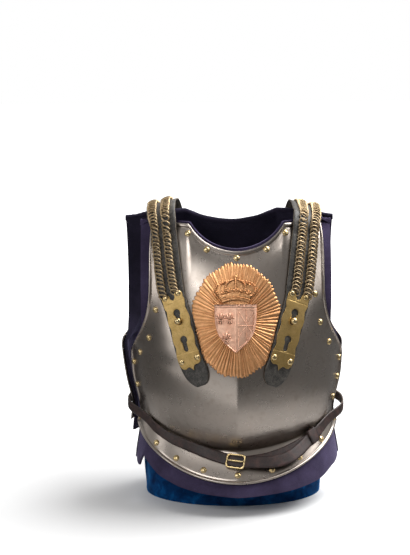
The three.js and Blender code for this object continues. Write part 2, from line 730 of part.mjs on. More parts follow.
// The two edges of the free end's back where it lies on the other half, drop lower than that.
function tongueEdges(left, x, drop) {
  const along = left.alongAt(x);
  const { up } = left.frame(along);
  const lift = beltWall + 4 * gap + Math.max(0, drop) * 0.45;
  return [1, -1].map((edge) => left.place(along, edge, lift).addScaledVector(up, -drop));
}

// A loop of leather over both straps, which turns in at their edges.
function keeperLoop(left) {
  const half = beltWidth / 2 + keeper.room;
  const high = 2 * beltWall + keeper.room + gap;
  const inner = [[half, gap], [half, high], [-half, high], [-half, gap]];
  const along = left.alongAt(keeper.x);
  const length = left.alongAt(keeper.x + keeper.length) - along;
  return wall(2, 3, (u, v, layer) => {
    const [across, lift] = inner[Math.round(v * 3)];
    const over = lift === high ? layer * keeper.wall : 0;
    const beside = Math.sign(across) * layer * keeper.wall;
    return left.place(along + u * length, (across + beside) / (beltWidth / 2), lift + over);
  });
}

function roundedBox(halfLength, halfHeight, radius) {
  const outline = new THREE.Shape();
  const corners = [[1, -1, 1.5], [1, 1, 0], [-1, 1, 0.5], [-1, -1, 1]];
  for (const [x, y, start] of corners) {
    const middle = [x * (halfLength - radius), y * (halfHeight - radius)];
    outline.absarc(...middle, radius, start * Math.PI, (start + 0.5) * Math.PI, false);
  }
  return outline;
}

// Display block

// An oval block whose top bears on the linings just under the waist, so that it carries the cuirass.
function displayBlock() {
  const lift = -(liningLift + liningWall + 11 * gap);
  const waistRow = { breast: 16, back: 13 };
  const block = disc(32, 2, (angle, radius, layer) => {
    const turn = Math.PI - angle;
    const round = turn > Math.PI ? turn - 2 * Math.PI : turn;
    const isFront = Math.abs(round) <= Math.PI / 2 + 1e-6;
    const depth = isFront ? standFoot.front : standFoot.back;
    const foot = new THREE.Vector3(standFoot.halfWidth * Math.sin(round), -depth * Math.cos(round), 0);
    if (!layer) return foot.multiplyScalar(radius).setX(foot.x + standFoot.x);
    const across = (isFront ? round : round - Math.sign(round) * Math.PI) / (Math.PI / 2);
    const top = isFront
      ? overPlate(breastRows, waistRow.breast, across, neckCut.front, lift)
      : overPlate(backRows, waistRow.back, across, neckCut.back, lift);
    if (!isFront) top.set(backShift - top.x, -top.y, top.z);
    const height = THREE.MathUtils.lerp(120, top.z, radius ** 2);
    top.x *= 0.985;
    return top.multiplyScalar(radius).setX(top.x + standFoot.x * (1 - radius)).setZ(height);
  });
  add("stand", block, velvet);
}

const cuirass = new THREE.Group();
const front = plate("breastplate", breastRows, cellsAcross.breast, neckCut.front, 0, 0);
const rear = plate("backplate", backRows, cellsAcross.back, neckCut.back, Math.PI, backShift);
linings();
rivets();
plaque();
shoulderStraps();
waistBelt();
displayBlock();
const middle = new THREE.Box3().setFromObject(cuirass).getCenter(new THREE.Vector3());
for (const piece of cuirass.children) piece.geometry.translate(-middle.x, -middle.y, 0);
export default cuirass;
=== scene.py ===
from math import asin, atan2, ceil, copysign, cos, degrees, floor, hypot, pi, radians, sin, sqrt, tau

import bmesh
import bpy
from mathutils import Matrix, Vector, noise
from mathutils.bvhtree import BVHTree


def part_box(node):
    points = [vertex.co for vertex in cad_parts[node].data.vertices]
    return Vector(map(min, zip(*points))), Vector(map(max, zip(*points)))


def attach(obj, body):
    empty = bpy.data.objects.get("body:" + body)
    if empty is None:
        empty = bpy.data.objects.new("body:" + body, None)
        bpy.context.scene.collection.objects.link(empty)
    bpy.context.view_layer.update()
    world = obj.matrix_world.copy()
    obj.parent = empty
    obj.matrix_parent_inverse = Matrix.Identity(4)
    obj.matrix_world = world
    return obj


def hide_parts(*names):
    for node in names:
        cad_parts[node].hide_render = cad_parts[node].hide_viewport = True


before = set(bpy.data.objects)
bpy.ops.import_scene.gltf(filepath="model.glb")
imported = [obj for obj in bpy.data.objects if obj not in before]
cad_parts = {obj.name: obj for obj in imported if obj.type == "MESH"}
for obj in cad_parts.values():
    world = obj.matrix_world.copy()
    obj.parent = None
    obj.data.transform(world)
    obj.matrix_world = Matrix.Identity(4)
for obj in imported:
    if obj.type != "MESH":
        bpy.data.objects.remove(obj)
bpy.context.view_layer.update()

# All the shapes are worked out in millimetres round the shoulder line, and moved into the frame at the end.
mm = 0.001
shoulderLine = (6.58, 17.92, 0)  # where its middle lies in the frame
toFrame = Matrix.Scale(mm, 4) @ Matrix.Translation(shoulderLine)
fromFrame = toFrame.inverted()


# Materials

def fill(tree, node, values):
    # Links a node's sockets to other sockets, or sets them to plain values.
    for key, value in values.items():
        if isinstance(value, bpy.types.NodeSocket):
            tree.links.new(value, node.inputs[key])
        else:
            node.inputs[key].default_value = value


def newMaterial(name, colour, metallic, roughness):
    material = bpy.data.materials.new(name)
    material.use_nodes = True
    tree = material.node_tree
    shader = tree.nodes["Principled BSDF"]
    fill(tree, shader, {"Base Color": (*colour, 1), "Metallic": metallic, "Roughness": roughness})
    return material, tree, shader


def addNode(tree, kind, inputs=None, **settings):
    made = tree.nodes.new("ShaderNode" + kind)
    for key, value in settings.items():
        setattr(made, key, value)
    fill(tree, made, inputs or {})
    return made


def place(tree, scale=(1, 1, 1)):
    coordinates = addNode(tree, "TexCoord").outputs["Object"]
    return addNode(tree, "Mapping", {"Vector": coordinates, "Scale": scale}).outputs[0]


def noiseAt(tree, where, size, detail=4, rough=0.55, warp=0):
    inputs = {"Vector": where, "Scale": 1 / (size * mm), "Detail": detail, "Roughness": rough, "Distortion": warp}
    return addNode(tree, "TexNoise", inputs).outputs["Fac"]


def ramp(tree, value, stops):
    made = addNode(tree, "ValToRGB", {"Fac": value})
    elements = made.color_ramp.elements
    while len(elements) < len(stops):
        elements.new(0.5)
    for element, (where, colour) in zip(elements, stops):
        element.position = where
        element.color = (*colour, 1) if isinstance(colour, tuple) else (colour, colour, colour, 1)
    return made.outputs["Color"]


def mixed(tree, share, first, second, blend="MIX"):
    made = addNode(tree, "Mix", data_type="RGBA", blend_type=blend)
    first, second = ((*value, 1) if isinstance(value, tuple) else value for value in (first, second))
    fill(tree, made, {0: share, 6: first, 7: second})
    return made.outputs[2]


def bumped(tree, height, depth, strength=1.0, over=None):
    inputs = {"Height": height, "Distance": depth * mm, "Strength": strength}
    if over:
        inputs["Normal"] = over
    return addNode(tree, "Bump", inputs).outputs[0]


def mapRange(tree, value, low, high):
    return addNode(tree, "MapRange", {"Value": value, "To Min": low, "To Max": high}).outputs[0]


def paintedRecessShade(tree, reach, dark):
    # Painted shade: a colour that darkens what lies deep between its neighbours, where shade falls.
    openness = addNode(tree, "AmbientOcclusion", {"Distance": reach * mm}, samples=8)
    return ramp(tree, openness.outputs["AO"], [(0.15, dark), (0.75, 1.0)])


def polishedSteel():
    material, tree, shader = newMaterial("polishedSteel", (0.36, 0.33, 0.305), 1, 0.24)
    where = place(tree)
    clouds = noiseAt(tree, where, 90, 5)
    stains = noiseAt(tree, where, 16, 6, 0.65)
    scratches = noiseAt(tree, place(tree, (1, 1, 12)), 6, 3)
    worn = ramp(tree, stains, [(0.54, 0.0), (0.8, 1.0)])
    colour = mixed(tree, clouds, (0.41, 0.375, 0.34), (0.52, 0.44, 0.38))
    fill(tree, shader, {
        "Base Color": mixed(tree, worn, colour, (0.36, 0.3, 0.25)),
        "Roughness": mapRange(tree, stains, 0.23, 0.34),
        "Normal": bumped(tree, scratches, 0.02, 0.25, bumped(tree, clouds, 0.6, 0.4)),
    })
    return material


def wornBrass(name, bright, dull, dark, roughness=0.3, recessShade=None):
    material, tree, shader = newMaterial(name, bright, 1, roughness)
    where = place(tree)
    patches = noiseAt(tree, where, 9, 5, 0.6)
    specks = noiseAt(tree, where, 1.6, 4, 0.7)
    colour = mixed(tree, ramp(tree, patches, [(0.35, 0.0), (0.68, 1.0)]), bright, dull)
    tarnish = ramp(tree, specks, [(0.55, 0.0), (0.75, 1.0)])
    colour = mixed(tree, tarnish, colour, dark)
    # Painted shade: the colour is multiplied darker in the hollows.
    if recessShade:
        colour = mixed(tree, 1.0, colour, paintedRecessShade(tree, *recessShade), "MULTIPLY")
    fill(tree, shader, {
        "Base Color": colour,
        "Roughness": mapRange(tree, patches, roughness - 0.08, roughness + 0.14),
        "Normal": bumped(tree, specks, 0.12, 0.5),
    })
    return material


def pebbledLeather(name, colour, light, grain, roughness=0.55):
    material, tree, shader = newMaterial(name, colour, 0, roughness)
    where = place(tree)
    pebbles = addNode(tree, "TexVoronoi", {"Vector": where, "Scale": 1 / (grain * mm)}).outputs["Distance"]
    wear = noiseAt(tree, where, 12, 6, 0.65)
    tone = mixed(tree, ramp(tree, wear, [(0.42, 0.0), (0.72, 1.0)]), colour, light)
    # Painted shade: the colour is darker in the creases between the pebbles.
    paintedCreaseShade = ramp(tree, pebbles, [(0.3, 1.0), (0.75, 0.45)])
    fill(tree, shader, {
        "Base Color": mixed(tree, 1.0, tone, paintedCreaseShade, "MULTIPLY"),
        "Roughness": mapRange(tree, wear, roughness - 0.15, roughness + 0.15),
        "Normal": bumped(tree, pebbles, 0.35, -0.8, bumped(tree, wear, 0.8, 0.4)),
    })
    return material


def wovenCloth(name, colour, light, thread=1.1):
    material, tree, shader = newMaterial(name, colour, 0, 0.95)
    where = place(tree)
    threads = {"Vector": where, "Scale": 0.32 / (thread * mm), "Distortion": 1.5}
    weave = addNode(tree, "TexWave", threads)
    cross = addNode(tree, "TexWave", threads, bands_direction="Z")
    fuzz = noiseAt(tree, where, 2.2, 5, 0.7)
    fade = noiseAt(tree, where, 45, 4)
    tone = mixed(tree, ramp(tree, fade, [(0.35, 0.0), (0.7, 1.0)]), colour, light)
    height = mixed(tree, 0.5, weave.outputs["Color"], cross.outputs["Color"])
    fill(tree, shader, {
        "Base Color": mixed(tree, 0.35, tone, ramp(tree, fuzz, [(0.3, 0.35), (0.7, 1.0)]), "MULTIPLY"),
        "Normal": bumped(tree, height, 0.25, 0.6, bumped(tree, fuzz, 0.7, 0.6)),
        "Sheen Weight": 0.3,
        "Sheen Roughness": 0.5,
        "Sheen Tint": (0.5, 0.45, 0.75, 1),
        "Specular IOR Level": 0.15,
    })
    return material


def blueVelvet():
    material, tree, shader = newMaterial("blueVelvet", (0.0, 0.045, 0.17), 0, 0.8)
    where = place(tree)
    crushedFoldsAndSheen = noiseAt(tree, where, 26, 5, 0.6, 0.6)
    pile = noiseAt(tree, where, 1.2, 3, 0.7)
    # Painted light: the colour is dark blue where the crushed folds sink and bright blue where they rise, painted
    # shade and painted sheen highlight.
    tone = ramp(tree, crushedFoldsAndSheen, [(0.35, (0.0, 0.012, 0.06)), (0.55, (0.0, 0.04, 0.15)), (0.75, (0.004, 0.12, 0.36))])
    fill(tree, shader, {
        "Base Color": tone,
        "Normal": bumped(tree, pile, 0.3, 0.4, bumped(tree, crushedFoldsAndSheen, 3, 0.5)),
        "Sheen Weight": 0.7,
        "Sheen Roughness": 0.35,
        "Sheen Tint": (0.05, 0.35, 0.85, 1),
        "Specular IOR Level": 0.1,
    })
    return material


steel = polishedSteel()
brass = wornBrass("wornBrass", (0.68, 0.47, 0.19), (0.54, 0.36, 0.13), (0.24, 0.15, 0.05), 0.4)
rivetBrass = wornBrass("rivetBrass", (0.8, 0.64, 0.36), (0.66, 0.48, 0.22), (0.34, 0.22, 0.09), 0.22)
# For the chain and the copper, the last pair sets how far the painted shade in their hollows reaches and how dark it
# is.
chainBrass = wornBrass("chainBrass", (0.66, 0.5, 0.3), (0.46, 0.34, 0.2), (0.14, 0.1, 0.06), 0.38, (3, 0.12))
copper = wornBrass("gildedCopper", (0.88, 0.47, 0.225), (0.74, 0.37, 0.16), (0.42, 0.18, 0.07), 0.42, (3, 0.2))
paleCopper = wornBrass("paleCopper", (0.97, 0.62, 0.45), (0.9, 0.52, 0.36), (0.55, 0.27, 0.16), 0.5, (2.5, 0.25))
blackLeather = pebbledLeather("blackLeather", (0.05, 0.046, 0.042), (0.17, 0.155, 0.135), 1.7)
cutLeather = pebbledLeather("cutLeather", (0.2, 0.16, 0.12), (0.32, 0.26, 0.19), 0.8, 0.8)
beltLeather = pebbledLeather("beltLeather", (0.034, 0.02, 0.018), (0.1, 0.048, 0.04), 0.6, 0.48)
beltEdge = pebbledLeather("beltEdge", (0.13, 0.1, 0.085), (0.25, 0.19, 0.15), 0.5, 0.7)
liningCloth = wovenCloth("liningCloth", (0.04, 0.03, 0.065), (0.075, 0.058, 0.12))
# The back lining's cloth is the lining cloth made darker: painted shade.
shadedCloth = wovenCloth("shadedCloth", (0.012, 0.01, 0.02), (0.025, 0.02, 0.04))
velvet = blueVelvet()
print("materials made")


# Shapes

def smoothRow(rows, at):
    # The row at a place between the rows of a table, on a smooth curve through them.
    at = min(max(at, 0), len(rows) - 1)
    i = min(int(at), len(rows) - 2)
    t = at - i
    picked = (rows[min(max(i + k, 0), len(rows) - 1)] for k in (-1, 0, 1, 2))
    return [
        0.5 * (2 * b + (c - a) * t + (2 * a - 5 * b + 4 * c - d) * t * t + (3 * b - a - 3 * c + d) * t ** 3)
        for a, b, c, d in zip(*picked)
    ]


def lerp(a, b, t):
    return a + (b - a) * t


def smoothStep(value, low, high):
    t = min(max((value - low) / (high - low), 0), 1)
    return t * t * (3 - 2 * t)


def alongTable(table, at):
    # Pairs of place and value, with straight lines between them.
    if at <= table[0][0]:
        return table[0][1]
    for (a, low), (b, high) in zip(table, table[1:]):
        if at <= b:
            return lerp(low, high, (at - a) / (b - a))
    return table[-1][1]


def movedGrid(columns, rows, where):
    # A grid whose corners go where(column, row) says.
    bm = bmesh.new()
    bmesh.ops.create_grid(bm, x_segments=columns, y_segments=rows, size=1)
    for vert in bm.verts:
        vert.co = where(round((vert.co.x + 1) / 2 * columns), round((1 - vert.co.y) / 2 * rows))
    return bm


def closed(bm):
    bmesh.ops.remove_doubles(bm, verts=bm.verts, dist=0.01)
    bmesh.ops.recalc_face_normals(bm, faces=bm.faces)
    return bm


def facing(bm, point, out):
    # Turns a sheet over if its face nearest to a point looks the wrong way.
    bm.normal_update()
    nearest = min(bm.faces, key=lambda face: (face.calc_center_median() - point).length)
    if nearest.normal.dot(out) < 0:
        bmesh.ops.reverse_faces(bm, faces=bm.faces)
    return bm


def swell(bm, amount):
    # Moves each corner outwards by what amount says of its number, its place and its normal.
    bm.normal_update()
    normals = [vert.normal.copy() for vert in bm.verts]
    for i, (vert, normal) in enumerate(zip(bm.verts, normals)):
        vert.co += normal * amount(i, vert.co, normal)
    bm.normal_update()
    return bm


def toMesh(bm, name):
    mesh = bpy.data.meshes.new(name)
    bm.to_mesh(mesh)
    bm.free()
    return mesh


def newObject(name, data):
    made = bpy.data.objects.new(name, data)
    bpy.context.scene.collection.objects.link(made)
    return made


def finishPiece(bm, name, materials, stands=(), wall=0, rim=0, bevel=0):
    bmesh.ops.transform(bm, matrix=toFrame, verts=bm.verts)
    mesh = toMesh(bm, name)
    for material in materials:
        mesh.materials.append(material)
    mesh.shade_smooth()
    piece = newObject(name, mesh)
    if wall:
        solidify = piece.modifiers.new("wall", "SOLIDIFY")
        solidify.thickness = wall * mm
        solidify.offset = -1
        solidify.material_offset_rim = rim
    if bevel:
        rounding = piece.modifiers.new("rounding", "BEVEL")
        rounding.width = bevel * mm
        rounding.segments = 3
        rounding.limit_method = "ANGLE"
        rounding.angle_limit = radians(50)
    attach(piece, "root")
    if stands:
        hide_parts(*stands)
    return piece


def stamp(bm, mesh, matrix):
    # Adds a copy of a small mesh.
    before = len(bm.verts)
    bm.from_mesh(mesh)
    bm.verts.ensure_lookup_table()
    bmesh.ops.transform(bm, matrix=matrix, verts=bm.verts[before:])


def axes(point, side, up, out):
    return Matrix.Translation(point) @ Matrix((side, up, out)).transposed().to_4x4()


def standing(point, out):
    # Axes on a surface: Z out of it and Y as far up as it can.
    side = Vector((0, 0, 1)).cross(out).normalized()
    return axes(point, side, out.cross(side).normalized(), out)


def turned(outline, steps):
    # A turned solid round Z from its outline, pairs of radius and height.
    bm = bmesh.new()
    verts = [bm.verts.new((radius, 0, height)) for radius, height in outline]
    edges = [bm.edges.new(pair) for pair in zip(verts, verts[1:])]
    bmesh.ops.spin(bm, geom=verts + edges, axis=(0, 0, 1), cent=(0, 0, 0), angle=tau, steps=steps,
                   use_merge=True)
    return closed(bm)


def ball(around, upwards):
    bm = bmesh.new()
    bmesh.ops.create_uvsphere(bm, u_segments=around, v_segments=upwards, radius=1)
    return bm


# Breastplate and backplate

breast = {
    # height of the sides and of the middle, half width, depth, depth of the edge, bend, keel, flare
    "rows": [
        (482, 439, 135, 103, 34, 58, 0, 4),
        (470, 429, 137, 105, 43, 57, 0, 4),
        (452, 413, 139, 113, 55, 56, 0, 4),
        (424, 391, 140, 123, 68, 55, 0, 4),
        (392, 364, 140, 134, 79, 54, 0, 4),
        (360, 337, 141, 145, 84, 55, 1, 4),
        (330, 311, 146, 153.5, 80, 58, 3, 4),
        (302, 286, 155, 160, 67, 64, 5.5, 4.5),
        (276, 261, 166, 164.5, 42, 73, 8, 5.5),
        (254, 238, 171, 166.5, 3, 88, 9.5, 8),
        (232, 212, 170, 166, 0, 90, 11, 9),
        (208, 180, 168, 161, 0, 90, 11.5, 9),
        (186, 148, 165, 149, 0, 90, 11, 7),
        (170, 125, 163, 134, 0, 90, 10, 5),
        (158, 109, 162, 121, 0, 90, 8, 4),
        (152, 103, 162, 118, 0, 90, 7, 3),
        (146, 95, 162, 122, 0, 90, 6, 3),
        (134, 76, 165, 134.5, 0, 90, 4, 3),
        (121, 55, 168, 150, 0, 90, 2, 3),
    ],
    "neck": (88, 47),  # radius and depth of the neck's curve
    "faces": 1,  # forwards
    "cells": (90, 108),
}
back = {
    "rows": [
        (482, 461, 145, 84, 26, 60, 0, 3),
        (468, 448, 148, 96, 38, 60, -2, 3),
        (444, 424, 151, 110, 52, 60, -5, 3),
        (408, 390, 153, 121, 62, 60, -7, 3),
        (368, 352, 153, 127, 66, 60, -8, 3),
        (332, 320, 156, 129, 61, 62, -8, 3),
        (302, 292, 164, 128, 46, 68, -8, 3),
        (280, 270, 176, 126, 18, 80, -8, 3),
        (266, 254, 184, 124, 4, 90, -8, 3),
        (234, 220, 182, 117, 4, 90, -8, 3),
        (200, 184, 177, 106, 4, 90, -7, 3),
        (174, 156, 171, 96, 4, 90, -5, 3),
        (158, 139, 168, 92, 4, 90, -4, 3),
        (148, 128, 168, 96, 4, 90, -3, 3),
        (125, 100, 171, 112, 4, 90, -2, 3),
    ],
    "neck": (145, 24),
    "faces": -1,
    "shift": -8,  # towards the wearer's right
    "cells": (80, 98),
}
steelEdge = {
    "wall": 2.0,
    "stops": (0, 0.25, 0.8, 1.5, 2.2, 2.9, 3.6, 4.15, 4.4, 5.0, 5.6, 7.0, 9.0),  # distances from the edge
    "rollRadius": 2.2,
    "groove": 0.45,
    "grooveWidth": 1.2,
    "unevenness": 0.3,
}
plateBend = {"flareFrom": 0.84, "keelReach": 105, "spineReach": 42, "neckFrom": 330, "neckTo": 470}


def platePoint(plate, rows, across, at):
    sideZ, middleZ, halfWidth, depth, edge, bend, keel, flare = smoothRow(rows, at)
    turn = radians(bend)
    angle = turn * across
    flareFrom = plateBend["flareFrom"]
    nearEnd = max(0, (abs(across) - flareFrom) / (1 - flareFrom)) ** 2
    x = halfWidth * sin(angle) / sin(turn) + copysign(flare * nearEnd, across)
    rounded = (cos(angle) - cos(turn)) / (1 - cos(turn))
    if keel > 0:
        ridge = max(0, 1 - abs(x) / plateBend["keelReach"]) ** 2
    else:
        ridge = max(0, 1 - (x / plateBend["spineReach"]) ** 2) ** 2
    y = edge + (depth - keel - edge) * rounded + keel * ridge
    radius, dip = plate["neck"]
    neckDip = max(0, 1 - (radius - sqrt(max(0, radius ** 2 - x ** 2))) / dip)
    waistDip = max(0, cos(across * pi / 2)) ** 1.5
    atNeck = smoothStep(sideZ, plateBend["neckFrom"], plateBend["neckTo"])
    z = sideZ - (sideZ - middleZ) * lerp(waistDip, neckDip, atNeck)
    return Vector((x, -y, z)) if plate["faces"] > 0 else Vector((plate["shift"] - x, y, z))


def facingOut(bm, plate, rows):
    return facing(bm, platePoint(plate, rows, 0, (len(rows) - 1) / 2), Vector((0, -plate["faces"], 0)))


def edgeRelief(distance):
    radius = steelEdge["rollRadius"]
    if distance < 2 * radius:
        return sqrt(max(0, radius ** 2 - (distance - radius) ** 2))
    if distance < 2 * radius + steelEdge["grooveWidth"]:
        return -steelEdge["groove"] * sin((distance - 2 * radius) / steelEdge["grooveWidth"] * pi)
    return 0


def plateMesh(plate):
    rows, stops = plate["rows"], steelEdge["stops"]
    last, n = len(rows) - 1, len(stops) - 1
    columns, lines = plate["cells"][0] + 2 * n, plate["cells"][1] + 2 * n
    distances = []

    def nearRim(index, count):
        return stops[index] if index < n else stops[count - index] if index > count - n else None

    def where(column, line):
        t = (column - n) / (columns - 2 * n) * 2 - 1
        inner = max(-1, min(1, t))
        inner = inner * 0.7 + inner ** 3 * 0.3
        speeds = [
            (platePoint(plate, rows, inner, a) - platePoint(plate, rows, inner, b)).length * 10
            for a, b in ((0, 0.1), (last, last - 0.1))
        ]
        top, bottom = (stops[-1] / speed for speed in speeds)
        endStop = nearRim(line, lines)
        if endStop is None:
            at = lerp(top, last - bottom, (line - n) / (lines - 2 * n))
        else:
            at = endStop / speeds[0] if line < n else last - endStop / speeds[1]
        speed = (platePoint(plate, rows, 1, at) - platePoint(plate, rows, 0.98, at)).length * 50
        sideStop = nearRim(column, columns)
        if sideStop is None:
            across = inner * (1 - stops[-1] / speed)
        else:
            across = copysign(1 - sideStop / speed, t)
        distances.append(min(d for d in (sideStop, endStop, 99) if d is not None))
        return platePoint(plate, rows, across, at)

    def thickness(i, point, normal):
        return steelEdge["wall"] + edgeRelief(distances[i]) + noise.noise(point / 60) * steelEdge["unevenness"]

    return swell(facingOut(movedGrid(columns, lines, where), plate, rows), thickness)


breastMesh = plateMesh(breast)
breastTree = BVHTree.FromBMesh(breastMesh)
backMesh = plateMesh(back)
backTree = BVHTree.FromBMesh(backMesh)
finishPiece(breastMesh, "breastplate_steel", [steel], ["breastplate"], wall=steelEdge["wall"])
finishPiece(backMesh, "backplate_steel", [steel], ["backplate"], wall=steelEdge["wall"])
print("plates made")


def seatFront(x, z):
    point, normal, _, _ = breastTree.ray_cast(Vector((x, -600, z)), Vector((0, 1, 0)))
    return point, normal


def seatBack(x, z):
    point, normal, _, _ = backTree.ray_cast(Vector((x, 600, z)), Vector((0, -1, 0)))
    return point, normal


def seatRound(turn, z):
    out = Vector((sin(turn), -cos(turn), 0))
    start = out * 600 + Vector((0, 0, z))
    hits = [tree.ray_cast(start, -out) for tree in (breastTree, backTree)]
    point, _, _, _ = min((hit for hit in hits if hit[0]), key=lambda hit: hit[3])
    return point, out


def middleOf(node):
    low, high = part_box(node)
    return fromFrame @ ((low + high) / 2)


# Linings

breastLining = {
    "top": (485, 443),
    "hemRow": (60, 38, 177, 157, 0, 90, 2, 0),
    "hem": ((-1, 58), (-0.84, 55), (-0.74, 82), (-0.55, 58), (-0.38, 46), (-0.24, 40), (0, 35), (0.14, 37),
            (0.34, 40), (0.57, 47), (0.74, 60), (1, 66)),
    "reach": {"right": 160, "left": 158, "least": 8},  # where its edges are at the arm holes
}
backLining = {
    "top": (485, 465),
    "hemRow": (108, 84, 173, 120, 4, 90, -2, 0),
    "hem": ((-1, 108), (-0.6, 94), (0, 84), (0.6, 94), (1, 108)),
    "reach": {"right": 181, "left": 174, "least": 5},
}
liningCut = {"lift": 1.0, "wall": 3.2, "rounding": 1.2, "puckers": 0.5, "setBack": 5, "drop": 12, "strip": 0.1,
             "cells": (120, 120)}


def liningMesh(plate, cut):
    rows = [(*cut["top"], *plate["rows"][0][2:7], 0)] + [(*row[:7], 0) for row in plate["rows"]] + [cut["hemRow"]]
    last = len(rows) - 1
    columns, lines = liningCut["cells"]

    def where(column, line):
        u = column / columns * 2 - 1
        at = line / lines * last
        row = smoothRow(rows, at)
        across = max(-1, min(1, u / (1 - liningCut["strip"])))
        beyond = max(0, (abs(u) - 1) / liningCut["strip"] + 1)
        point = platePoint(plate, rows, across, at)
        if at > last - 1:
            point.z = lerp(platePoint(plate, rows, across, last - 1).z, alongTable(cut["hem"], across),
                           at - last + 1)
        reach = cut["reach"]["right" if u * plate["faces"] < 0 else "left"]
        armHole = smoothStep(row[4], 4, 18)
        past = 1 + (max(reach - row[2], cut["reach"]["least"]) - 1) * armHole
        point.x += plate["faces"] * copysign(past * beyond, u)
        point.y += plate["faces"] * liningCut["setBack"] * armHole * beyond
        point.z -= liningCut["drop"] * beyond * max(0, 1 - at)
        return point

    def depth(i, point, normal):
        return -liningCut["lift"] - liningCut["puckers"] * (1 + noise.noise(point / 25))

    return swell(facingOut(movedGrid(columns, lines, where), plate, rows), depth)


for plate, cut, name, cloth in ((breast, breastLining, "breast_lining", liningCloth),
                                (back, backLining, "back_lining", shadedCloth)):
    piece = finishPiece(liningMesh(plate, cut), name + "_cloth", [cloth], [name],
                        wall=liningCut["wall"], bevel=liningCut["rounding"])
print("linings made")


# Rivets

rivet = {"radius": 5.4, "height": 3.6, "steps": 20}
rivetHead = toMesh(turned([(0, -0.6), (rivet["radius"], -0.6), (rivet["radius"], 0.3)] + [
    (rivet["radius"] * cos(a * pi / 16), 0.3 + (rivet["height"] - 0.3) * sin(a * pi / 16))
    for a in range(1, 8)] + [(0, rivet["height"])], rivet["steps"]), "rivetHead")


def putRivet(bm, point, out):
    stamp(bm, rivetHead, standing(point, out))


breastRivets = [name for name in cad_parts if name.startswith("rivet_")]
bm = bmesh.new()
for name in sorted(breastRivets):
    point, normal, _, _ = breastTree.find_nearest(middleOf(name))
    putRivet(bm, point, normal)
finishPiece(bm, "breast_rivets", [rivetBrass], breastRivets)

backRivets = {
    "neck": [(-98, 470), (-52, 458), (52, 458), (98, 470)],  # across and height
    "arm": [(132, 456), (140, 400), (143, 345), (152, 300)],
    "side": [240, 200, 132],  # heights
    "sideDepth": 14,
    "flange": [-140, -95, -48, 0, 48, 95, 140],
}
bm = bmesh.new()
for x, z in backRivets["neck"] + [(side * x, z) for x, z in backRivets["arm"] for side in (-1, 1)]:
    putRivet(bm, *seatBack(x + back["shift"], z))
for z in backRivets["side"]:
    for side in (-1, 1):
        point, _, _, _ = backTree.ray_cast(Vector((side * 600, backRivets["sideDepth"], z)), Vector((-side, 0, 0)))
        near, normal, _, _ = backTree.find_nearest(point)
        putRivet(bm, near, normal)
for x in backRivets["flange"]:
    rise = 112 + 24 * (1 - cos(x / 174 * pi / 2))
    putRivet(bm, *seatBack(x + back["shift"], rise))
finishPiece(bm, "back_rivets", [rivetBrass])
print("rivets made")


# Plaque: sunburst, shield and crown

def onBreast(x, z, lift=0):
    # A point over the breastplate and the way that it faces there, evened out over a few millimetres.
    across = seatFront(x + 6, z)[0] - seatFront(x - 6, z)[0]
    up = seatFront(x, z + 6)[0] - seatFront(x, z - 6)[0]
    out = across.cross(up).normalized()
    return seatFront(x, z)[0] + out * lift, out


strap = {
    # Middle line of each strap on the breast, over the shoulder and on the back: across, back, up and, over the
    # shoulder, how far it slopes outwards
    "right": {
        "breast": [(57, 226), (64, 243), (74.5, 264), (82, 289), (89.5, 319), (98.5, 350), (108, 380), (113, 415),
                   (116, 442), (118, 460)],
        "shoulder": [(121, -68, 483, 0.6), (124.5, -50, 495, 0.35), (126, -20, 503, 0.22), (126, 10, 504, 0.22),
                     (122, 44, 498, 0.3), (117, 70, 485, 0.45)],
        "back": [(110, 456), (103, 434), (96, 408)],
    },
    "left": {
        "breast": [(55, 225), (61, 243), (69.5, 264), (77, 289), (85.5, 319), (94.5, 350), (102, 380), (107, 415),
                   (110, 442), (112.5, 460)],
        "shoulder": [(115, -68, 482, 0.6), (118, -50, 491, 0.35), (119, -20, 497, 0.22), (119, 10, 498, 0.22),
                     (116, 44, 494, 0.3), (111, 70, 483, 0.45)],
        "back": [(104, 456), (98, 434), (92, 408)],
    },
    "turnsRound": (-2, 440),
    "width": 50,
    "plateWidth": 44,
    "wall": 2.5,
    "tip": 30,
    "lobes": 371,
    "foot": 256,
    "widens": 15,  # from plateWidth to width, this far on each side of the lobes
    "cells": (12, 160),
}


def strapEdge(name, z):
    # How far from the middle the inner edge of a strap is, a little off it.
    line = strap[name]["breast"]
    (x1, z1), (x2, z2) = next(pair for pair in zip(line, line[1:]) if pair[1][1] >= z)
    slope = (x2 - x1) / (z2 - z1)
    return x1 + slope * (z - z1) - (strap["plateWidth"] / 2 + 1) * hypot(1, slope)


sunburst = {
    "x": -1.7, "z": 331.5, "halfWidth": 74.4, "halfHeight": 90.5, "rays": 84, "steps": 6, "rings": 24,
    "hub": 0.25, "lift": 1.9, "wall": 1.5, "ridge": 1.9, "notch": 0.03, "raggedness": 0.014,
}


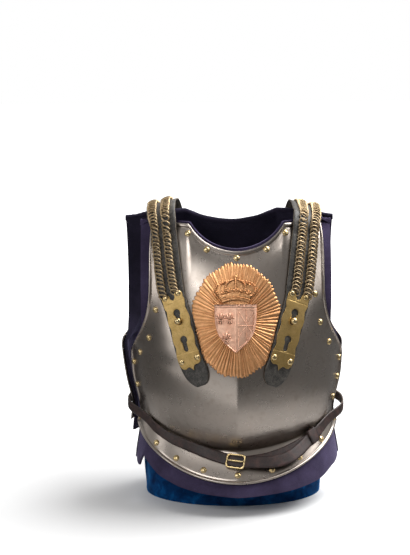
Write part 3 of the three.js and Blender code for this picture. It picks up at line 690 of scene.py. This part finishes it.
def sunburstMesh():
    rays, steps, rings = sunburst["rays"], sunburst["steps"], sunburst["rings"]
    widths = [1 + 0.3 * sin(k * 2.4) + 0.15 * sin(k * 5.1) for k in range(rays)]
    starts = [sum(widths[:k]) / sum(widths) * tau for k in range(rays)]

    def where(column, line):
        k, step = divmod(column, steps)
        k %= rays
        angle = starts[k] + widths[k] / sum(widths) * tau * step / steps
        side = abs(2 * step / steps - 1)
        radius = lerp(sunburst["hub"], 1, line / rings)
        ragged = sunburst["raggedness"] * (1 + sin(k * 0.9 + 1) + 0.6 * sin(k * 2.9))
        reach = radius * (1 - (sunburst["notch"] * side ** 2 + ragged) * smoothStep(radius, 0.6, 1))
        ridge = sunburst["ridge"] * (0.8 + 0.2 * sin(k * 2.1)) * (1 - side ** 2.2)
        ridge *= smoothStep(radius, 0.25, 0.5) * (1 - 0.5 * smoothStep(radius, 0.93, 1))
        z = sunburst["z"] + sunburst["halfHeight"] * reach * cos(angle)
        x = sunburst["x"] + sunburst["halfWidth"] * reach * sin(angle)
        x = min(max(x, -strapEdge("right", z)), strapEdge("left", z))
        return onBreast(x, z, sunburst["lift"] + ridge)[0]

    bm = movedGrid(rays * steps, rings, where)
    bmesh.ops.remove_doubles(bm, verts=bm.verts, dist=0.01)
    return facing(bm, *onBreast(sunburst["x"], sunburst["z"]))


finishPiece(sunburstMesh(), "sunburst_copper", [copper], ["sunburst"], wall=sunburst["wall"])

shield = {
    "x": -2.5, "z": 318.8, "halfWidth": 33.8, "halfHeight": 35.5, "lift": 5.6, "wall": 2.2,
    "border": 2.3, "rise": 1.3, "bulge": 1.4,
    # up, half width and arch, as shares of the whole
    "outline": [(1, 1, 0), (0.94, 1, 0), (0.5, 0.985, 0), (0.1, 0.93, 0), (-0.25, 0.8, 0), (-0.55, 0.56, 0),
                (-0.8, 0.27, 0), (-1, 0.03, 0)],
    "lilies": [(-23.5, 16.8), (-9.3, 16.8), (-14.6, -13.5)],
    # each leaf of a lily: across, up, turn in degrees, half width, half length
    "leaves": [(0, 3.25, 0, 2.2, 6.48), (-3.3, 2.375, 24, 1.65, 5.28), (3.3, 2.375, -24, 1.65, 5.28),
               (-5.72, 0.5, 70, 1.43, 2.28), (5.72, 0.5, -70, 1.43, 2.28), (0, -3.75, 90, 1.1, 5.28),
               (0, -7, 0, 1.43, 3.48), (-2.64, -6.25, -28, 1.1, 2.76), (2.64, -6.25, 28, 1.1, 2.76)],
    "leafHeight": 2.6,
    "chains": [((4, 30), (29, 30)), ((29, 30), (28, 2)), ((28, 2), (16, -20)), ((16, -20), (4, -29)),
               ((4, -29), (4, 30)), ((16.5, 30), (16.5, -20)), ((4, 5), (28, 5)), ((4, 28), (26, -8)),
               ((29, 28), (5, -12))],
    "chainPitch": 2.3,
    "bead": (1.3, 0.9, 1.1, 1),
}
crown = {
    "x": -2.3, "z": 380, "halfWidth": 33.5, "halfHeight": 21, "lift": 5.2, "wall": 2.0,
    "outline": [(0.88, 0.1, 0.12), (0.62, 0.14, 0.05), (0.42, 0.42, 0.14), (0.25, 0.8, 0.2), (0, 1, 0.2),
                (-0.4, 0.9, 0.2), (-0.62, 0.7, 0.22), (-1, 0.64, 0.22)],
    "pearl": 1.7,
    "cords": [(-17.2, 1.0), (-8.2, 0.8)],  # of the band: height and thickness
    "cordBeads": 40,
    "archPearls": 12,
    "leaves": [(0, 2.5, 0), (-2.2, 0.6, 45), (2.2, 0.6, -45)],  # across, up, turn in degrees
}


def reliefPatch(shape, columns, lines, rise):
    # A cast piece laid over the sunburst; rise says how far it stands out at x and z from its middle.
    def where(column, line):
        up, halfWidth, arch = smoothRow(shape["outline"], line / lines * (len(shape["outline"]) - 1))
        across = column / columns * 2 - 1
        x = shape["halfWidth"] * halfWidth * across
        z = shape["halfHeight"] * (up + arch * (1 - across ** 2))
        fromEdge = min(shape["halfWidth"] * halfWidth * (1 - abs(across)) * 0.85,
                       shape["halfHeight"] * (shape["outline"][0][0] - up))
        return onBreast(shape["x"] + x, shape["z"] + z, shape["lift"] + rise(x, z, fromEdge))[0]

    return facing(movedGrid(columns, lines, where), *onBreast(shape["x"], shape["z"], shape["lift"]))


def shieldRise(x, z, fromEdge):
    border = 0
    if fromEdge < shield["border"]:
        border = shield["rise"] * sin(min(fromEdge / shield["border"], 1) * pi) ** 0.5
    pale = 0.6 * max(0, 1 - abs(x - 0.5) / 1.1)
    worn = 0.35 * noise.noise(Vector((x, 0, z)) / 5)
    return border + pale + worn + shield["bulge"] * (1 - (x / 36) ** 2)


def onPiece(shape, x, z, turn=0, lift=0.0):
    point, out = onBreast(shape["x"] + x, shape["z"] + z, shape["lift"] + lift)
    return standing(point, out) @ Matrix.Rotation(turn, 4, "Z")


smallBall = toMesh(ball(8, 5), "ball")
bm = reliefPatch(shield, 72, 76, shieldRise)
finishPiece(bm, "shield_plate", [paleCopper], ["shield"], wall=shield["wall"])
bm = bmesh.new()
for x, z in shield["lilies"]:
    for across, up, turn, halfWidth, halfLength in shield["leaves"]:
        spot = onPiece(shield, x + across, z + up, radians(turn), 1.6)
        stamp(bm, smallBall, spot @ Matrix.Diagonal((halfWidth, halfLength, shield["leafHeight"], 1)))
for (x1, z1), (x2, z2) in shield["chains"]:
    count = round(hypot(x2 - x1, z2 - z1) / shield["chainPitch"])
    for i in range(count):
        x, z = lerp(x1, x2, (i + 0.5) / count), lerp(z1, z2, (i + 0.5) / count)
        turn = atan2(z2 - z1, x2 - x1)
        stamp(bm, smallBall, onPiece(shield, x, z, turn, 0.9) @ Matrix.Diagonal(shield["bead"]))
finishPiece(bm, "shield_charges", [paleCopper])


def crownRise(x, z, fromEdge):
    band = 0.9 * (abs(z + 12.5 - 4.4 * (1 - (x / 24) ** 2)) < 3.6)
    return band + 0.5 * noise.noise(Vector((x, 0, z)) / 3) + 1.2 * (1 - (x / 40) ** 2)


bm = reliefPatch(crown, 60, 44, crownRise)
finishPiece(bm, "crown_plate", [copper], ["crown"], wall=crown["wall"])
bm = bmesh.new()
for z, size in crown["cords"]:
    for i in range(crown["cordBeads"]):
        x = lerp(-22.5, 22.5, i / (crown["cordBeads"] - 1))
        rise = 4.6 * (1 - (x / 24) ** 2)
        stamp(bm, smallBall, onPiece(crown, x, z + rise, 0, 1.9) @ Matrix.Diagonal((1, size, 1, 1)))
for k in range(-2, 3):  # five arches of pearls that rise to the orb
    for i in range(crown["archPearls"]):
        t = i / (crown["archPearls"] - 1)
        x = k * 14.5 * cos(t * pi / 2) ** 0.8 * (1 + 0.25 * sin(t * pi))
        z = lerp(-4 - abs(k) * 1.6, 15.5, sin(t * pi / 2)) - abs(k) * 1.5 * t
        stamp(bm, smallBall, onPiece(crown, x, z, 0, 2.0 + sin(t * pi)) @ Matrix.Scale(crown["pearl"], 4))
for k in range(-2, 3):  # a leaf over the band at the foot of each arch
    for across, up, turn in crown["leaves"]:
        x, z = k * 10.2 + across, -2.5 - 1.1 * k * k + up
        spot = onPiece(crown, x, z, radians(turn), 2.4)
        stamp(bm, smallBall, spot @ Matrix.Diagonal((1.6, 3.3, 2.0, 1)))
stamp(bm, smallBall, onPiece(crown, 0, 18.2, 0, 1.5) @ Matrix.Diagonal((3.1, 3.1, 2.2, 1)))
finishPiece(bm, "crown_relief", [copper])
print("plaque made")


# Shoulder straps

keyholePlate = {
    "wall": 1.8,
    "rounding": 0.45,
    "lobe": (12.2, 6.8, 7.6),
    # share of the length and half width
    "sides": [(0.1, 19.4), (0.14, 20.4), (0.18, 19.4), (0.22, 17.6), (0.28, 18.6), (0.34, 20.6), (0.4, 20.4),
              (0.46, 18.4), (0.52, 19.2), (0.6, 20.6), (0.66, 19.8), (0.72, 18.0), (0.77, 19.4), (0.82, 21),
              (0.9, 21.2)],
    "foot": [(19.6, 0.955), (16.5, 0.985), (12.5, 0.995), (8, 0.985), (4.4, 0.99), (1.8, 1.02)],
    "cusp": 1.05,
    "keyholes": (0.27, 0.63),
    "round": 6.3,
    "slot": (3.9, 20),
    "notch": [(0, 12.5), (3.2, 10)],  # between the lobes
    "grooves": (0.125, 0.8),
    "groove": (0.9, 0.5),  # half width and depth
}
clasp = {"place": (0.9, 0.967), "corner": 3, "wall": 1.8, "rounding": 0.45, "rivetsAcross": (-0.55, 0.55),
         "rivetsAlong": (0.22, 0.78)}
curb = {"pitch": 6.6, "halfWidth": 7.9, "halfLength": 5.2, "wire": 1.35, "tilt": 34, "slant": 24, "lift": 3.5,
        "end": 0.893, "places": {"outer": 14.6, "inner": -8.4}}


def measuredRoute(rows, axesAt):
    # A route through the rows of a table, measured in millimetres along it. Each row starts with a place.
    fine = 24
    points = [Vector(smoothRow(rows, i / fine)[:3]) for i in range(fine * (len(rows) - 1) + 1)]
    reached = [0]
    for a, b in zip(points, points[1:]):
        reached.append(reached[-1] + (b - a).length)

    def at(distance):
        distance = min(max(distance, 0), reached[-1])
        i = max(k for k in range(len(reached) - 1) if reached[k] <= distance)
        spot = (i + (distance - reached[i]) / (reached[i + 1] - reached[i])) / fine
        row, ahead, behind = (smoothRow(rows, spot + step) for step in (0, 0.03, -0.03))
        return axesAt(row, Vector(ahead[:3]) - Vector(behind[:3]))

    def first(test):
        return next(reached[i] for i in range(len(points)) if test(points[i]))

    return reached[-1], at, first


def strapAxes(row, way):
    way = way.normalized()
    out = Vector(row[3:6])
    out = (out - way * out.dot(way)).normalized()
    return Vector(row[:3]), out.cross(way), way, out


def strapRoute(side, line):
    stations = [onBreast(side * x, z, 1) for x, z in line["breast"]]
    for x, y, z, slope in line["shoulder"]:
        middleY, middleZ = strap["turnsRound"]
        out = Vector((0, y - middleY, z - middleZ)).normalized()
        out.x = side * slope
        stations.append((Vector((side * x, y, z)), out.normalized()))
    for x, z in line["back"]:
        point, out = seatBack(side * x, z)
        stations.append((point + out * 2.4, out))
    return measuredRoute([(*point, *out) for point, out in stations], strapAxes)


def bent(bm, at, start, sign=-1):
    # Lays a flat mesh along a route: x goes across it, y along it from start, and z off it.
    for vert in bm.verts:
        point, side, way, out = at(start + sign * vert.co.y)
        vert.co = point + side * vert.co.x + out * vert.co.z
    return closed(bm)


def cutAcross(bm, spot, axis):
    bmesh.ops.bisect_plane(bm, geom=bm.verts[:] + bm.edges[:] + bm.faces[:], dist=0.001, plane_co=spot, plane_no=axis)


def cutPanel(outline, holes, wall, rounding, step=3.0):
    # A flat panel with holes and rounded edges, cut into strips so that it can be bent.
    curve = bpy.data.curves.new("panel", "CURVE")
    curve.dimensions = "2D"
    curve.fill_mode = "BOTH"
    curve.extrude = wall / 2 - rounding
    curve.bevel_depth = rounding
    curve.bevel_resolution = 1
    curve.offset = -rounding
    for loop in (outline, *holes):
        spline = curve.splines.new("POLY")
        spline.points.add(len(loop) - 1)
        for point, (x, y) in zip(spline.points, loop):
            point.co = (x, y, 0, 1)
        spline.use_cyclic_u = True
    holder = newObject("panel", curve)
    mesh = bpy.data.meshes.new_from_object(holder.evaluated_get(bpy.context.evaluated_depsgraph_get()))
    bpy.data.objects.remove(holder)
    bm = bmesh.new()
    bm.from_mesh(mesh)
    bmesh.ops.remove_doubles(bm, verts=bm.verts, dist=0.001)
    xs, ys = ([vert.co[i] for vert in bm.verts] for i in (0, 1))
    for values, axis in ((xs, (1, 0, 0)), (ys, (0, 1, 0))):
        size = step * (2 if axis[0] else 1)
        for i in range(ceil(min(values) / size), floor(max(values) / size) + 1):
            cutAcross(bm, Vector(axis) * i * size, axis)
    bmesh.ops.translate(bm, verts=bm.verts, vec=(0, 0, wall / 2))
    return bm


def arc(x, y, radius, start, end, steps):
    angles = (radians(lerp(start, end, i / steps)) for i in range(steps + 1))
    return [(x + radius * cos(a), y + radius * sin(a)) for a in angles]


def roundedBox(halfLength, halfHeight, radius, steps):
    corners = [(1, -1, 270), (1, 1, 0), (-1, 1, 90), (-1, -1, 180)]
    return [point for x, y, start in corners
            for point in arc(x * (halfLength - radius), y * (halfHeight - radius), radius, start, start + 90, steps)]


def keyholeOutline(y):
    half, length = keyholePlate["slot"]
    meet = degrees(asin(half / keyholePlate["round"]))
    return arc(0, y, keyholePlate["round"], 90 + meet, 450 - meet, 20) + arc(0, y + length - half, half, 0, 180, 8)


def keyholePanel(length):
    x, y, radius = keyholePlate["lobe"]
    lobe = (radians(a) for a in range(190, -10, -16))
    half = keyholePlate["notch"] + [(x + radius * cos(a), y - radius * sin(a)) for a in lobe]
    half += [(width, share * length) for share, width in keyholePlate["sides"]]
    half += [(width, share * length) for width, share in keyholePlate["foot"]]
    outline = half + [(0, keyholePlate["cusp"] * length)] + [(-x, y) for x, y in half[:0:-1]]
    holes = [keyholeOutline(share * length) for share in keyholePlate["keyholes"]]
    bm = cutPanel(outline, holes, keyholePlate["wall"], keyholePlate["rounding"])
    grooveHalf, grooveDepth = keyholePlate["groove"]
    for groove in keyholePlate["grooves"]:
        for offset in (-grooveHalf, 0, grooveHalf):
            cutAcross(bm, (0, groove * length + offset, 0), (0, 1, 0))
        for vert in bm.verts:
            if abs(vert.co.y - groove * length) < 0.1 and vert.co.z > 1:
                vert.co.z -= grooveDepth
    return bm


def linkMesh():
    bm = bmesh.new()
    bmesh.ops.create_circle(bm, segments=6, radius=curb["wire"])
    bmesh.ops.rotate(bm, verts=bm.verts, matrix=Matrix.Rotation(pi / 2, 3, "X"))
    bmesh.ops.translate(bm, verts=bm.verts, vec=(curb["halfWidth"], 0, 0))
    bmesh.ops.spin(bm, geom=bm.verts[:] + bm.edges[:], axis=(0, 0, 1), cent=(0, 0, 0), angle=tau, steps=12,
                   use_merge=True)
    bmesh.ops.scale(bm, verts=bm.verts, vec=(1, curb["halfLength"] / curb["halfWidth"], 1))
    closed(bm)
    slant = Matrix.Rotation(radians(curb["slant"]), 4, "Z") @ Matrix.Rotation(radians(curb["tilt"]), 4, "X")
    bmesh.ops.transform(bm, verts=bm.verts, matrix=slant)
    return toMesh(bm, "link")


link = linkMesh()
knob = toMesh(turned([(0, -0.5), (3, -0.5), (3, 5), (3.4, 6)] + [
    (5.7 * cos(a * pi / 16), 8.6 + 4.8 * sin(a * pi / 16)) for a in range(-6, 8)] +
    [(0, 13.4)], 24), "knob")

columns, lines = strap["cells"]
for name, side in (("right", -1), ("left", 1)):
    length, at, first = strapRoute(side, strap[name])
    lobes = first(lambda point: point.z >= strap["lobes"])
    foot = first(lambda point: point.z >= strap["foot"])

    def where(column, line):
        distance = length * line / lines
        across = column / columns * 2 - 1
        fromTip = max(0, 1 - distance / strap["tip"])
        widening = smoothStep(distance, lobes - strap["widens"], lobes + strap["widens"])
        half = lerp(strap["plateWidth"], strap["width"], widening) / 2 * sqrt(1 - 0.86 * fromTip ** 2)
        point, sideways, way, out = at(distance)
        thickness = strap["wall"] - 0.5 * max(0, (abs(across) - 0.8) / 0.2) ** 2
        return point + sideways * across * half + out * thickness

    point, _, _, out = at(lobes)
    bm = facing(movedGrid(columns, lines, where), point, out)
    finishPiece(bm, f"strap_{name}_leather", [blackLeather, cutLeather], [f"strap_leather_{name}"],
                wall=strap["wall"] - 0.2, rim=1)

    bm = keyholePanel(lobes - foot)
    bmesh.ops.translate(bm, verts=bm.verts, vec=(0, 0, strap["wall"] + 0.3))
    bent(bm, at, lobes)
    finishPiece(bm, f"strap_{name}_keyhole_plate", [brass], [f"strap_plate_{name}"])
    bm = bmesh.new()
    for i in range(1, 5):
        _, _, _, out = at(lobes if i < 3 else foot)
        spot = middleOf(f"strap_rivet_{name}_{i}")
        putRivet(bm, spot - out * rivet["height"] * 0.45, out)
    _, _, _, out = at(lerp(lobes, foot, 0.385))
    spot = middleOf(f"strap_stud_{name}")
    stamp(bm, knob, standing(spot - out * 6.4, out))
    stands = [f"strap_rivet_{name}_{i}" for i in range(1, 5)] + [f"strap_stud_{name}"]
    finishPiece(bm, f"strap_{name}_rivets", [rivetBrass], stands)

    for row, outwards in curb["places"].items():
        bm = bmesh.new()
        start, end = lobes - 1, length * curb["end"]
        for i in range(int((end - start) / curb["pitch"])):
            point, sideways, way, out = at(start + i * curb["pitch"])
            centre = point - sideways * side * outwards + out * (strap["wall"] + curb["lift"])
            sway = Matrix.Rotation(0.12 * sin(i * 1.7), 4, "Z")
            stamp(bm, link, axes(centre, sideways, way, out) @ sway)
        finishPiece(bm, f"chain_{name}_{row}_links", [chainBrass], [f"chain_{name}_{row}"])

    half = strap["width"] / 2
    claspStart, claspEnd = (length * share for share in clasp["place"])
    middle = (claspEnd - claspStart) / 2
    outline = [(x, y + middle) for x, y in roundedBox(half, middle, clasp["corner"], 5)]
    bm = cutPanel(outline, [], clasp["wall"], clasp["rounding"])
    bmesh.ops.translate(bm, verts=bm.verts, vec=(0, 0, strap["wall"] + 1))
    bent(bm, at, claspStart, 1)
    finishPiece(bm, f"back_clasp_{name}_plate", [brass], [f"back_clasp_{name}"])
    bm = bmesh.new()
    for across in clasp["rivetsAcross"]:
        for share in clasp["rivetsAlong"]:
            point, sideways, way, out = at(lerp(claspStart, claspEnd, share))
            spot = point + sideways * across * half + out * (strap["wall"] + 1 + clasp["wall"])
            putRivet(bm, spot, out)
    finishPiece(bm, f"back_clasp_{name}_rivets", [rivetBrass])
print("shoulder straps made")


# Waist belt

belt = {
    "width": 16.5,
    "wall": 3,
    "lift": 1.4,
    # turn round the body from the front in degrees and height, or x, y and height
    "right": [(0, 89.5), (11, 93.5), (24, 100.5), (38, 110), (52, 119.5), (64, 131), (75, 142), (182, -10, 153),
              (187, 10, 158.5), (180, 31, 161), (165, 47, 161), (116, 160), (124, 158)],
    "left": [(3, 88), (12, 89), (24, 92), (38, 99.5), (52, 111), (64, 126), (75, 138), (180, -10, 148),
             (182, 10, 157), (172, 31, 161), (156, 47, 161), (116, 160), (124, 158)],
    # where along the front the free end is, and how much it drops there
    "freeEnd": [(16, 2), (36, 6.5), (56, 11), (76, 11.5), (92, 7.5), (106, 3), (118, 0), (134, -0.5)],
    "cells": 150,
}
buckle = {"x": -3, "halfLength": 16.5, "halfHeight": 12.5, "bar": 3.2, "wall": 2.8, "corner": 6, "tilt": -10}
keeper = {"x": 115, "length": 15, "wall": 1.8, "room": 2.2}


def beltEdges(row, side, lift):
    edges = []
    for edge in (1, -1):
        height = row[-1] + edge * belt["width"] / 2
        if len(row) == 3:
            edges.append(Vector((side * row[0], row[1], height)))
        else:
            point, out = seatRound(side * radians(row[0]), height)
            edges.append(point + out * lift)
    return edges


def beltAxes(row, way):
    upper, lower = Vector(row[:3]), Vector(row[3:])
    up = (upper - lower).normalized()
    out = way.cross(up).normalized()
    return (upper + lower) / 2, up, out, up.cross(out), (upper - lower).length / 2


def beltRoute(stations):
    return measuredRoute([(*upper, *lower) for upper, lower in stations], beltAxes)


def beltMesh(length, at):
    def where(column, line):
        middle, up, out, _, half = at(length * column / belt["cells"])
        across = 1 - line / 10 * 2
        thickness = belt["wall"] - 0.6 * max(0, (abs(across) - 0.7) / 0.3) ** 2
        return middle + up * across * half + out * thickness

    middle, _, out, _, _ = at(length / 2)
    return facing(movedGrid(belt["cells"], 10, where), middle, out)


leftStations = [beltEdges(row, 1, belt["lift"]) for row in belt["left"]]
leftLength, leftAt, leftFirst = beltRoute(leftStations)


def freeEndEdges(x, drop):
    middle, up, out, _, half = leftAt(leftFirst(lambda point: point.x >= x))
    over = out * (belt["wall"] + 1.2 + max(0, drop) * 0.45) - up * drop
    return [middle + up * half + over, middle - up * half + over]


rightStations = [beltEdges(row, -1, belt["lift"]) for row in belt["right"][:0:-1]]
rightStations.append(beltEdges(belt["right"][0], -1, belt["lift"] + belt["wall"] + 0.6))
rightStations += [freeEndEdges(x, drop) for x, drop in belt["freeEnd"]]
rightLength, rightAt, rightFirst = beltRoute(rightStations)
for name, length, at in (("belt_right", rightLength, rightAt), ("belt_left", leftLength, leftAt)):
    finishPiece(beltMesh(length, at), name + "_strap", [beltLeather, beltEdge], [name],
                wall=belt["wall"] - 0.2, rim=1)

middle, up, out, way, _ = rightAt(rightFirst(lambda point: point.x >= buckle["x"] and point.y < 0))
spot = axes(middle + out * (belt["wall"] + 0.6), way, up, out)
spot = spot @ Matrix.Rotation(radians(buckle["tilt"]), 4, "Z")
bm = cutPanel(roundedBox(buckle["halfLength"], buckle["halfHeight"], buckle["corner"], 6),
              [roundedBox(buckle["halfLength"] - buckle["bar"], buckle["halfHeight"] - buckle["bar"], 4, 6)],
              buckle["wall"], 1.2, 6)
bmesh.ops.transform(bm, verts=bm.verts, matrix=spot)
finishPiece(closed(bm), "buckle_frame_brass", [rivetBrass], ["buckle_frame"])
bm = ball(16, 10)
bmesh.ops.transform(bm, verts=bm.verts, matrix=spot @ Matrix.Translation((0, 0, buckle["wall"] + 1.5)) @
                    Matrix.Diagonal((buckle["halfLength"] - 0.5, 1.7, 1.2, 1)))
finishPiece(bm, "buckle_prong_brass", [rivetBrass], ["buckle_prong"])

around, corner = keeper["room"] + keeper["wall"], 2.5
across, high = belt["width"] / 2 + around, 2 * belt["wall"] + around + 0.3
loop = [(across, 0.6), (across, high - corner)] + arc(across - corner, high - corner, corner, 0, 90, 4)[1:] + \
    arc(corner - across, high - corner, corner, 90, 180, 4) + [(-across, 0.6)]
start = leftFirst(lambda point: point.x >= keeper["x"])


def keeperPoint(column, line):
    middle, up, out, _, _ = leftAt(start + keeper["length"] * column / 6)
    y, z = loop[line]
    return middle + up * y + out * z


middle, _, out, _, _ = leftAt(start + keeper["length"] / 2)
bm = facing(movedGrid(6, len(loop) - 1, keeperPoint), middle + out * high, out)
finishPiece(bm, "belt_keeper_loop", [beltLeather, beltEdge], ["belt_keeper"],
            wall=keeper["wall"], rim=1)
print("waist belt made")


# Display block

block = {
    "foot": (153, 96, 88),  # half width, and how far it reaches forwards and back
    "shift": -7,  # of the foot, towards the wearer's right
    "waistRow": {"breast": 16, "back": 13},
    "lift": 7.5,
    "shrink": 0.985,
    "columns": 220,
    "lines": (8, 10, 40, 52),  # the last line of the underside, the rim, the side and the top
    "inset": 0.992,  # of the underside in the rim
    "folds": 1.6,
}


def blockEdge(turn):
    # The block's foot and the edge of its top at an angle round it from the front.
    turn = (turn + pi) % tau - pi
    isFront = abs(turn) <= pi / 2
    halfWidth, forwards, backwards = block["foot"]
    depth = forwards if isFront else backwards
    foot = Vector((halfWidth * sin(turn), -depth * cos(turn), 0))
    plate, at = (breast, block["waistRow"]["breast"]) if isFront else (back, block["waistRow"]["back"])
    across = (turn if isFront else turn - copysign(pi, turn)) / (pi / 2)
    top, right, left, above, below = (
        platePoint(plate, plate["rows"], across + step, at + rows)
        for step, rows in ((0, 0), (0.02, 0), (-0.02, 0), (0, -1), (0, 1))
    )
    out = (right - left).cross(above - below).normalized()
    if out.dot(Vector((top.x, top.y, 0))) < 0:
        out = -out
    top = top - out * block["lift"]
    top.x *= block["shrink"]
    return foot, top, Vector((block["shift"], 0, 0))


def blockPoint(column, line):
    foot, top, middle = blockEdge(column / block["columns"] * tau)
    bottom, rim, side, last = block["lines"]
    if line <= bottom:
        return foot * (line / bottom) * block["inset"] + middle
    if line <= rim:
        rise = line - bottom
        return foot * (block["inset"] + 0.004 * rise) + Vector((0, 0, 1.5 * rise)) + middle
    if line <= side:
        rise = (line - rim) / (side - rim)
        point = (foot + middle).lerp(top, rise)
        point.z = lerp(3, top.z - 3, rise)
        return point
    share = 1 - (line - side) / (last - side)
    point = middle.lerp(top, share)
    point.z = lerp(120, top.z, share ** 2)
    return point


def velvetFold(i, point, normal):
    if not 1 < point.z < 145 or abs(normal.z) >= 0.8:
        return 0
    slanted = Vector((point.x + point.z * 0.5, point.y, point.z * 0.35)) / 22
    return noise.noise(slanted) * block["folds"] - 0.4


bm = swell(closed(movedGrid(block["columns"], block["lines"][-1], blockPoint)), velvetFold)
finishPiece(bm, "stand_velvet", [velvet], ["stand"])
print("display block made")


# Studio

studio = {
    "target": (-53.3, 0, 377), "azimuth": 0.7, "elevation": 10.3, "roll": -0.5, "distance": 2400, "viewHeight": 952,
    "background": 1.0,
    "floorReflected": [(0.25, 0.45), (0.6, 0.08)],  # how pale the floor looks to what reflects it, from the object outwards: painted light, paler near the object
    "room": [(0.0, 0.2), (0.45, 0.24), (0.75, 0.55), (1.0, 0.9)],  # brightness from the front to the back
    # place and what it faces in metres, width, height, brightness
    "lights": {
        "overheadLight": ((1.3, 0.4, 2.3), (0, 0, 0), 2.2, 2.2, 7.6),
        "frontCard": ((-1.1, -2.3, 1.9), (0, 0, 0.35), 1.3, 1.0, 4.2),
        "leftCard": ((-1.7, -0.75, 0.55), (0, 0, 0.3), 0.5, 1.5, 2.2),
        "rightStrip": ((1.5, -0.5, 1.0), (0, 0, 0.3), 0.25, 1.2, 3.0),
        "floorCard": ((-0.55, -0.95, 0.02), (-0.55, -0.95, 1), 1.05, 1.1, 0.7),
    },
}


def buildStudio():
    azimuth, elevation = radians(studio["azimuth"]), radians(studio["elevation"])
    backward = Vector((sin(azimuth) * cos(elevation), -cos(azimuth) * cos(elevation),
                       sin(elevation)))
    data = bpy.data.cameras.new("camera")
    data.sensor_width = 36
    data.lens = 36 * studio["distance"] / studio["viewHeight"]
    data.clip_end = 50
    camera = newObject("camera", data)
    camera.location = toFrame @ (Vector(studio["target"]) + backward * studio["distance"])
    camera.rotation_euler = (-backward).to_track_quat("-Z", "Y").to_euler()
    camera.rotation_euler.rotate_axis("Z", radians(studio["roll"]))
    bpy.context.scene.camera = camera

    bm = bmesh.new()
    bmesh.ops.create_grid(bm, x_segments=1, y_segments=1, size=12)
    mesh = toMesh(bm, "floor")
    paper, tree, shader = newMaterial("floorPaper", (0.9, 0.9, 0.9), 0, 0.9)
    # Far from the object the paper glows as brightly as the room behind it. What the steel reflects is darker.
    seen = addNode(tree, "LightPath").outputs["Is Camera Ray"]
    where = addNode(tree, "TexCoord").outputs["Object"]
    far = addNode(tree, "VectorMath", {0: where}, operation="LENGTH").outputs["Value"]
    glow = addNode(tree, "MapRange", {"Value": far, "From Min": 0.45, "From Max": 1.4}).outputs[0]
    fill(tree, shader, {
        "Base Color": mixed(tree, seen, ramp(tree, far, studio["floorReflected"]), (0.9, 0.9, 0.9)),
        "Specular IOR Level": 0,
        "Emission Strength": mixed(tree, seen, (0.0, 0.0, 0.0), glow),
        "Emission Color": (1, 1, 1, 1),
    })
    mesh.materials.append(paper)
    newObject("floor", mesh)

    for name, (spot, aim, width, height, brightness) in studio["lights"].items():
        data = bpy.data.lights.new(name, "AREA")
        data.shape = "RECTANGLE"
        data.size, data.size_y = width, height
        data.energy = brightness * pi * width * height
        light = newObject(name, data)
        light.location = spot
        light.rotation_euler = (Vector(aim) - Vector(spot)).to_track_quat("-Z", "Y").to_euler()
        light.visible_camera = False

    world = bpy.data.worlds.new("studioRoom")
    world.use_nodes = True
    bpy.context.scene.world = world
    tree = world.node_tree
    direction = addNode(tree, "TexCoord").outputs["Generated"]
    sideways = addNode(tree, "SeparateXYZ", {"Vector": direction}).outputs["Y"]
    fromFront = addNode(tree, "MapRange", {"Value": sideways, "From Min": -1}).outputs[0]
    room = ramp(tree, fromFront, studio["room"])
    seen = addNode(tree, "LightPath").outputs["Is Camera Ray"]
    backdrop = (studio["background"],) * 3
    fill(tree, tree.nodes["Background"], {"Color": mixed(tree, seen, room, backdrop)})
    bpy.context.scene.view_settings.view_transform = "Standard"


buildStudio()
print("studio made")
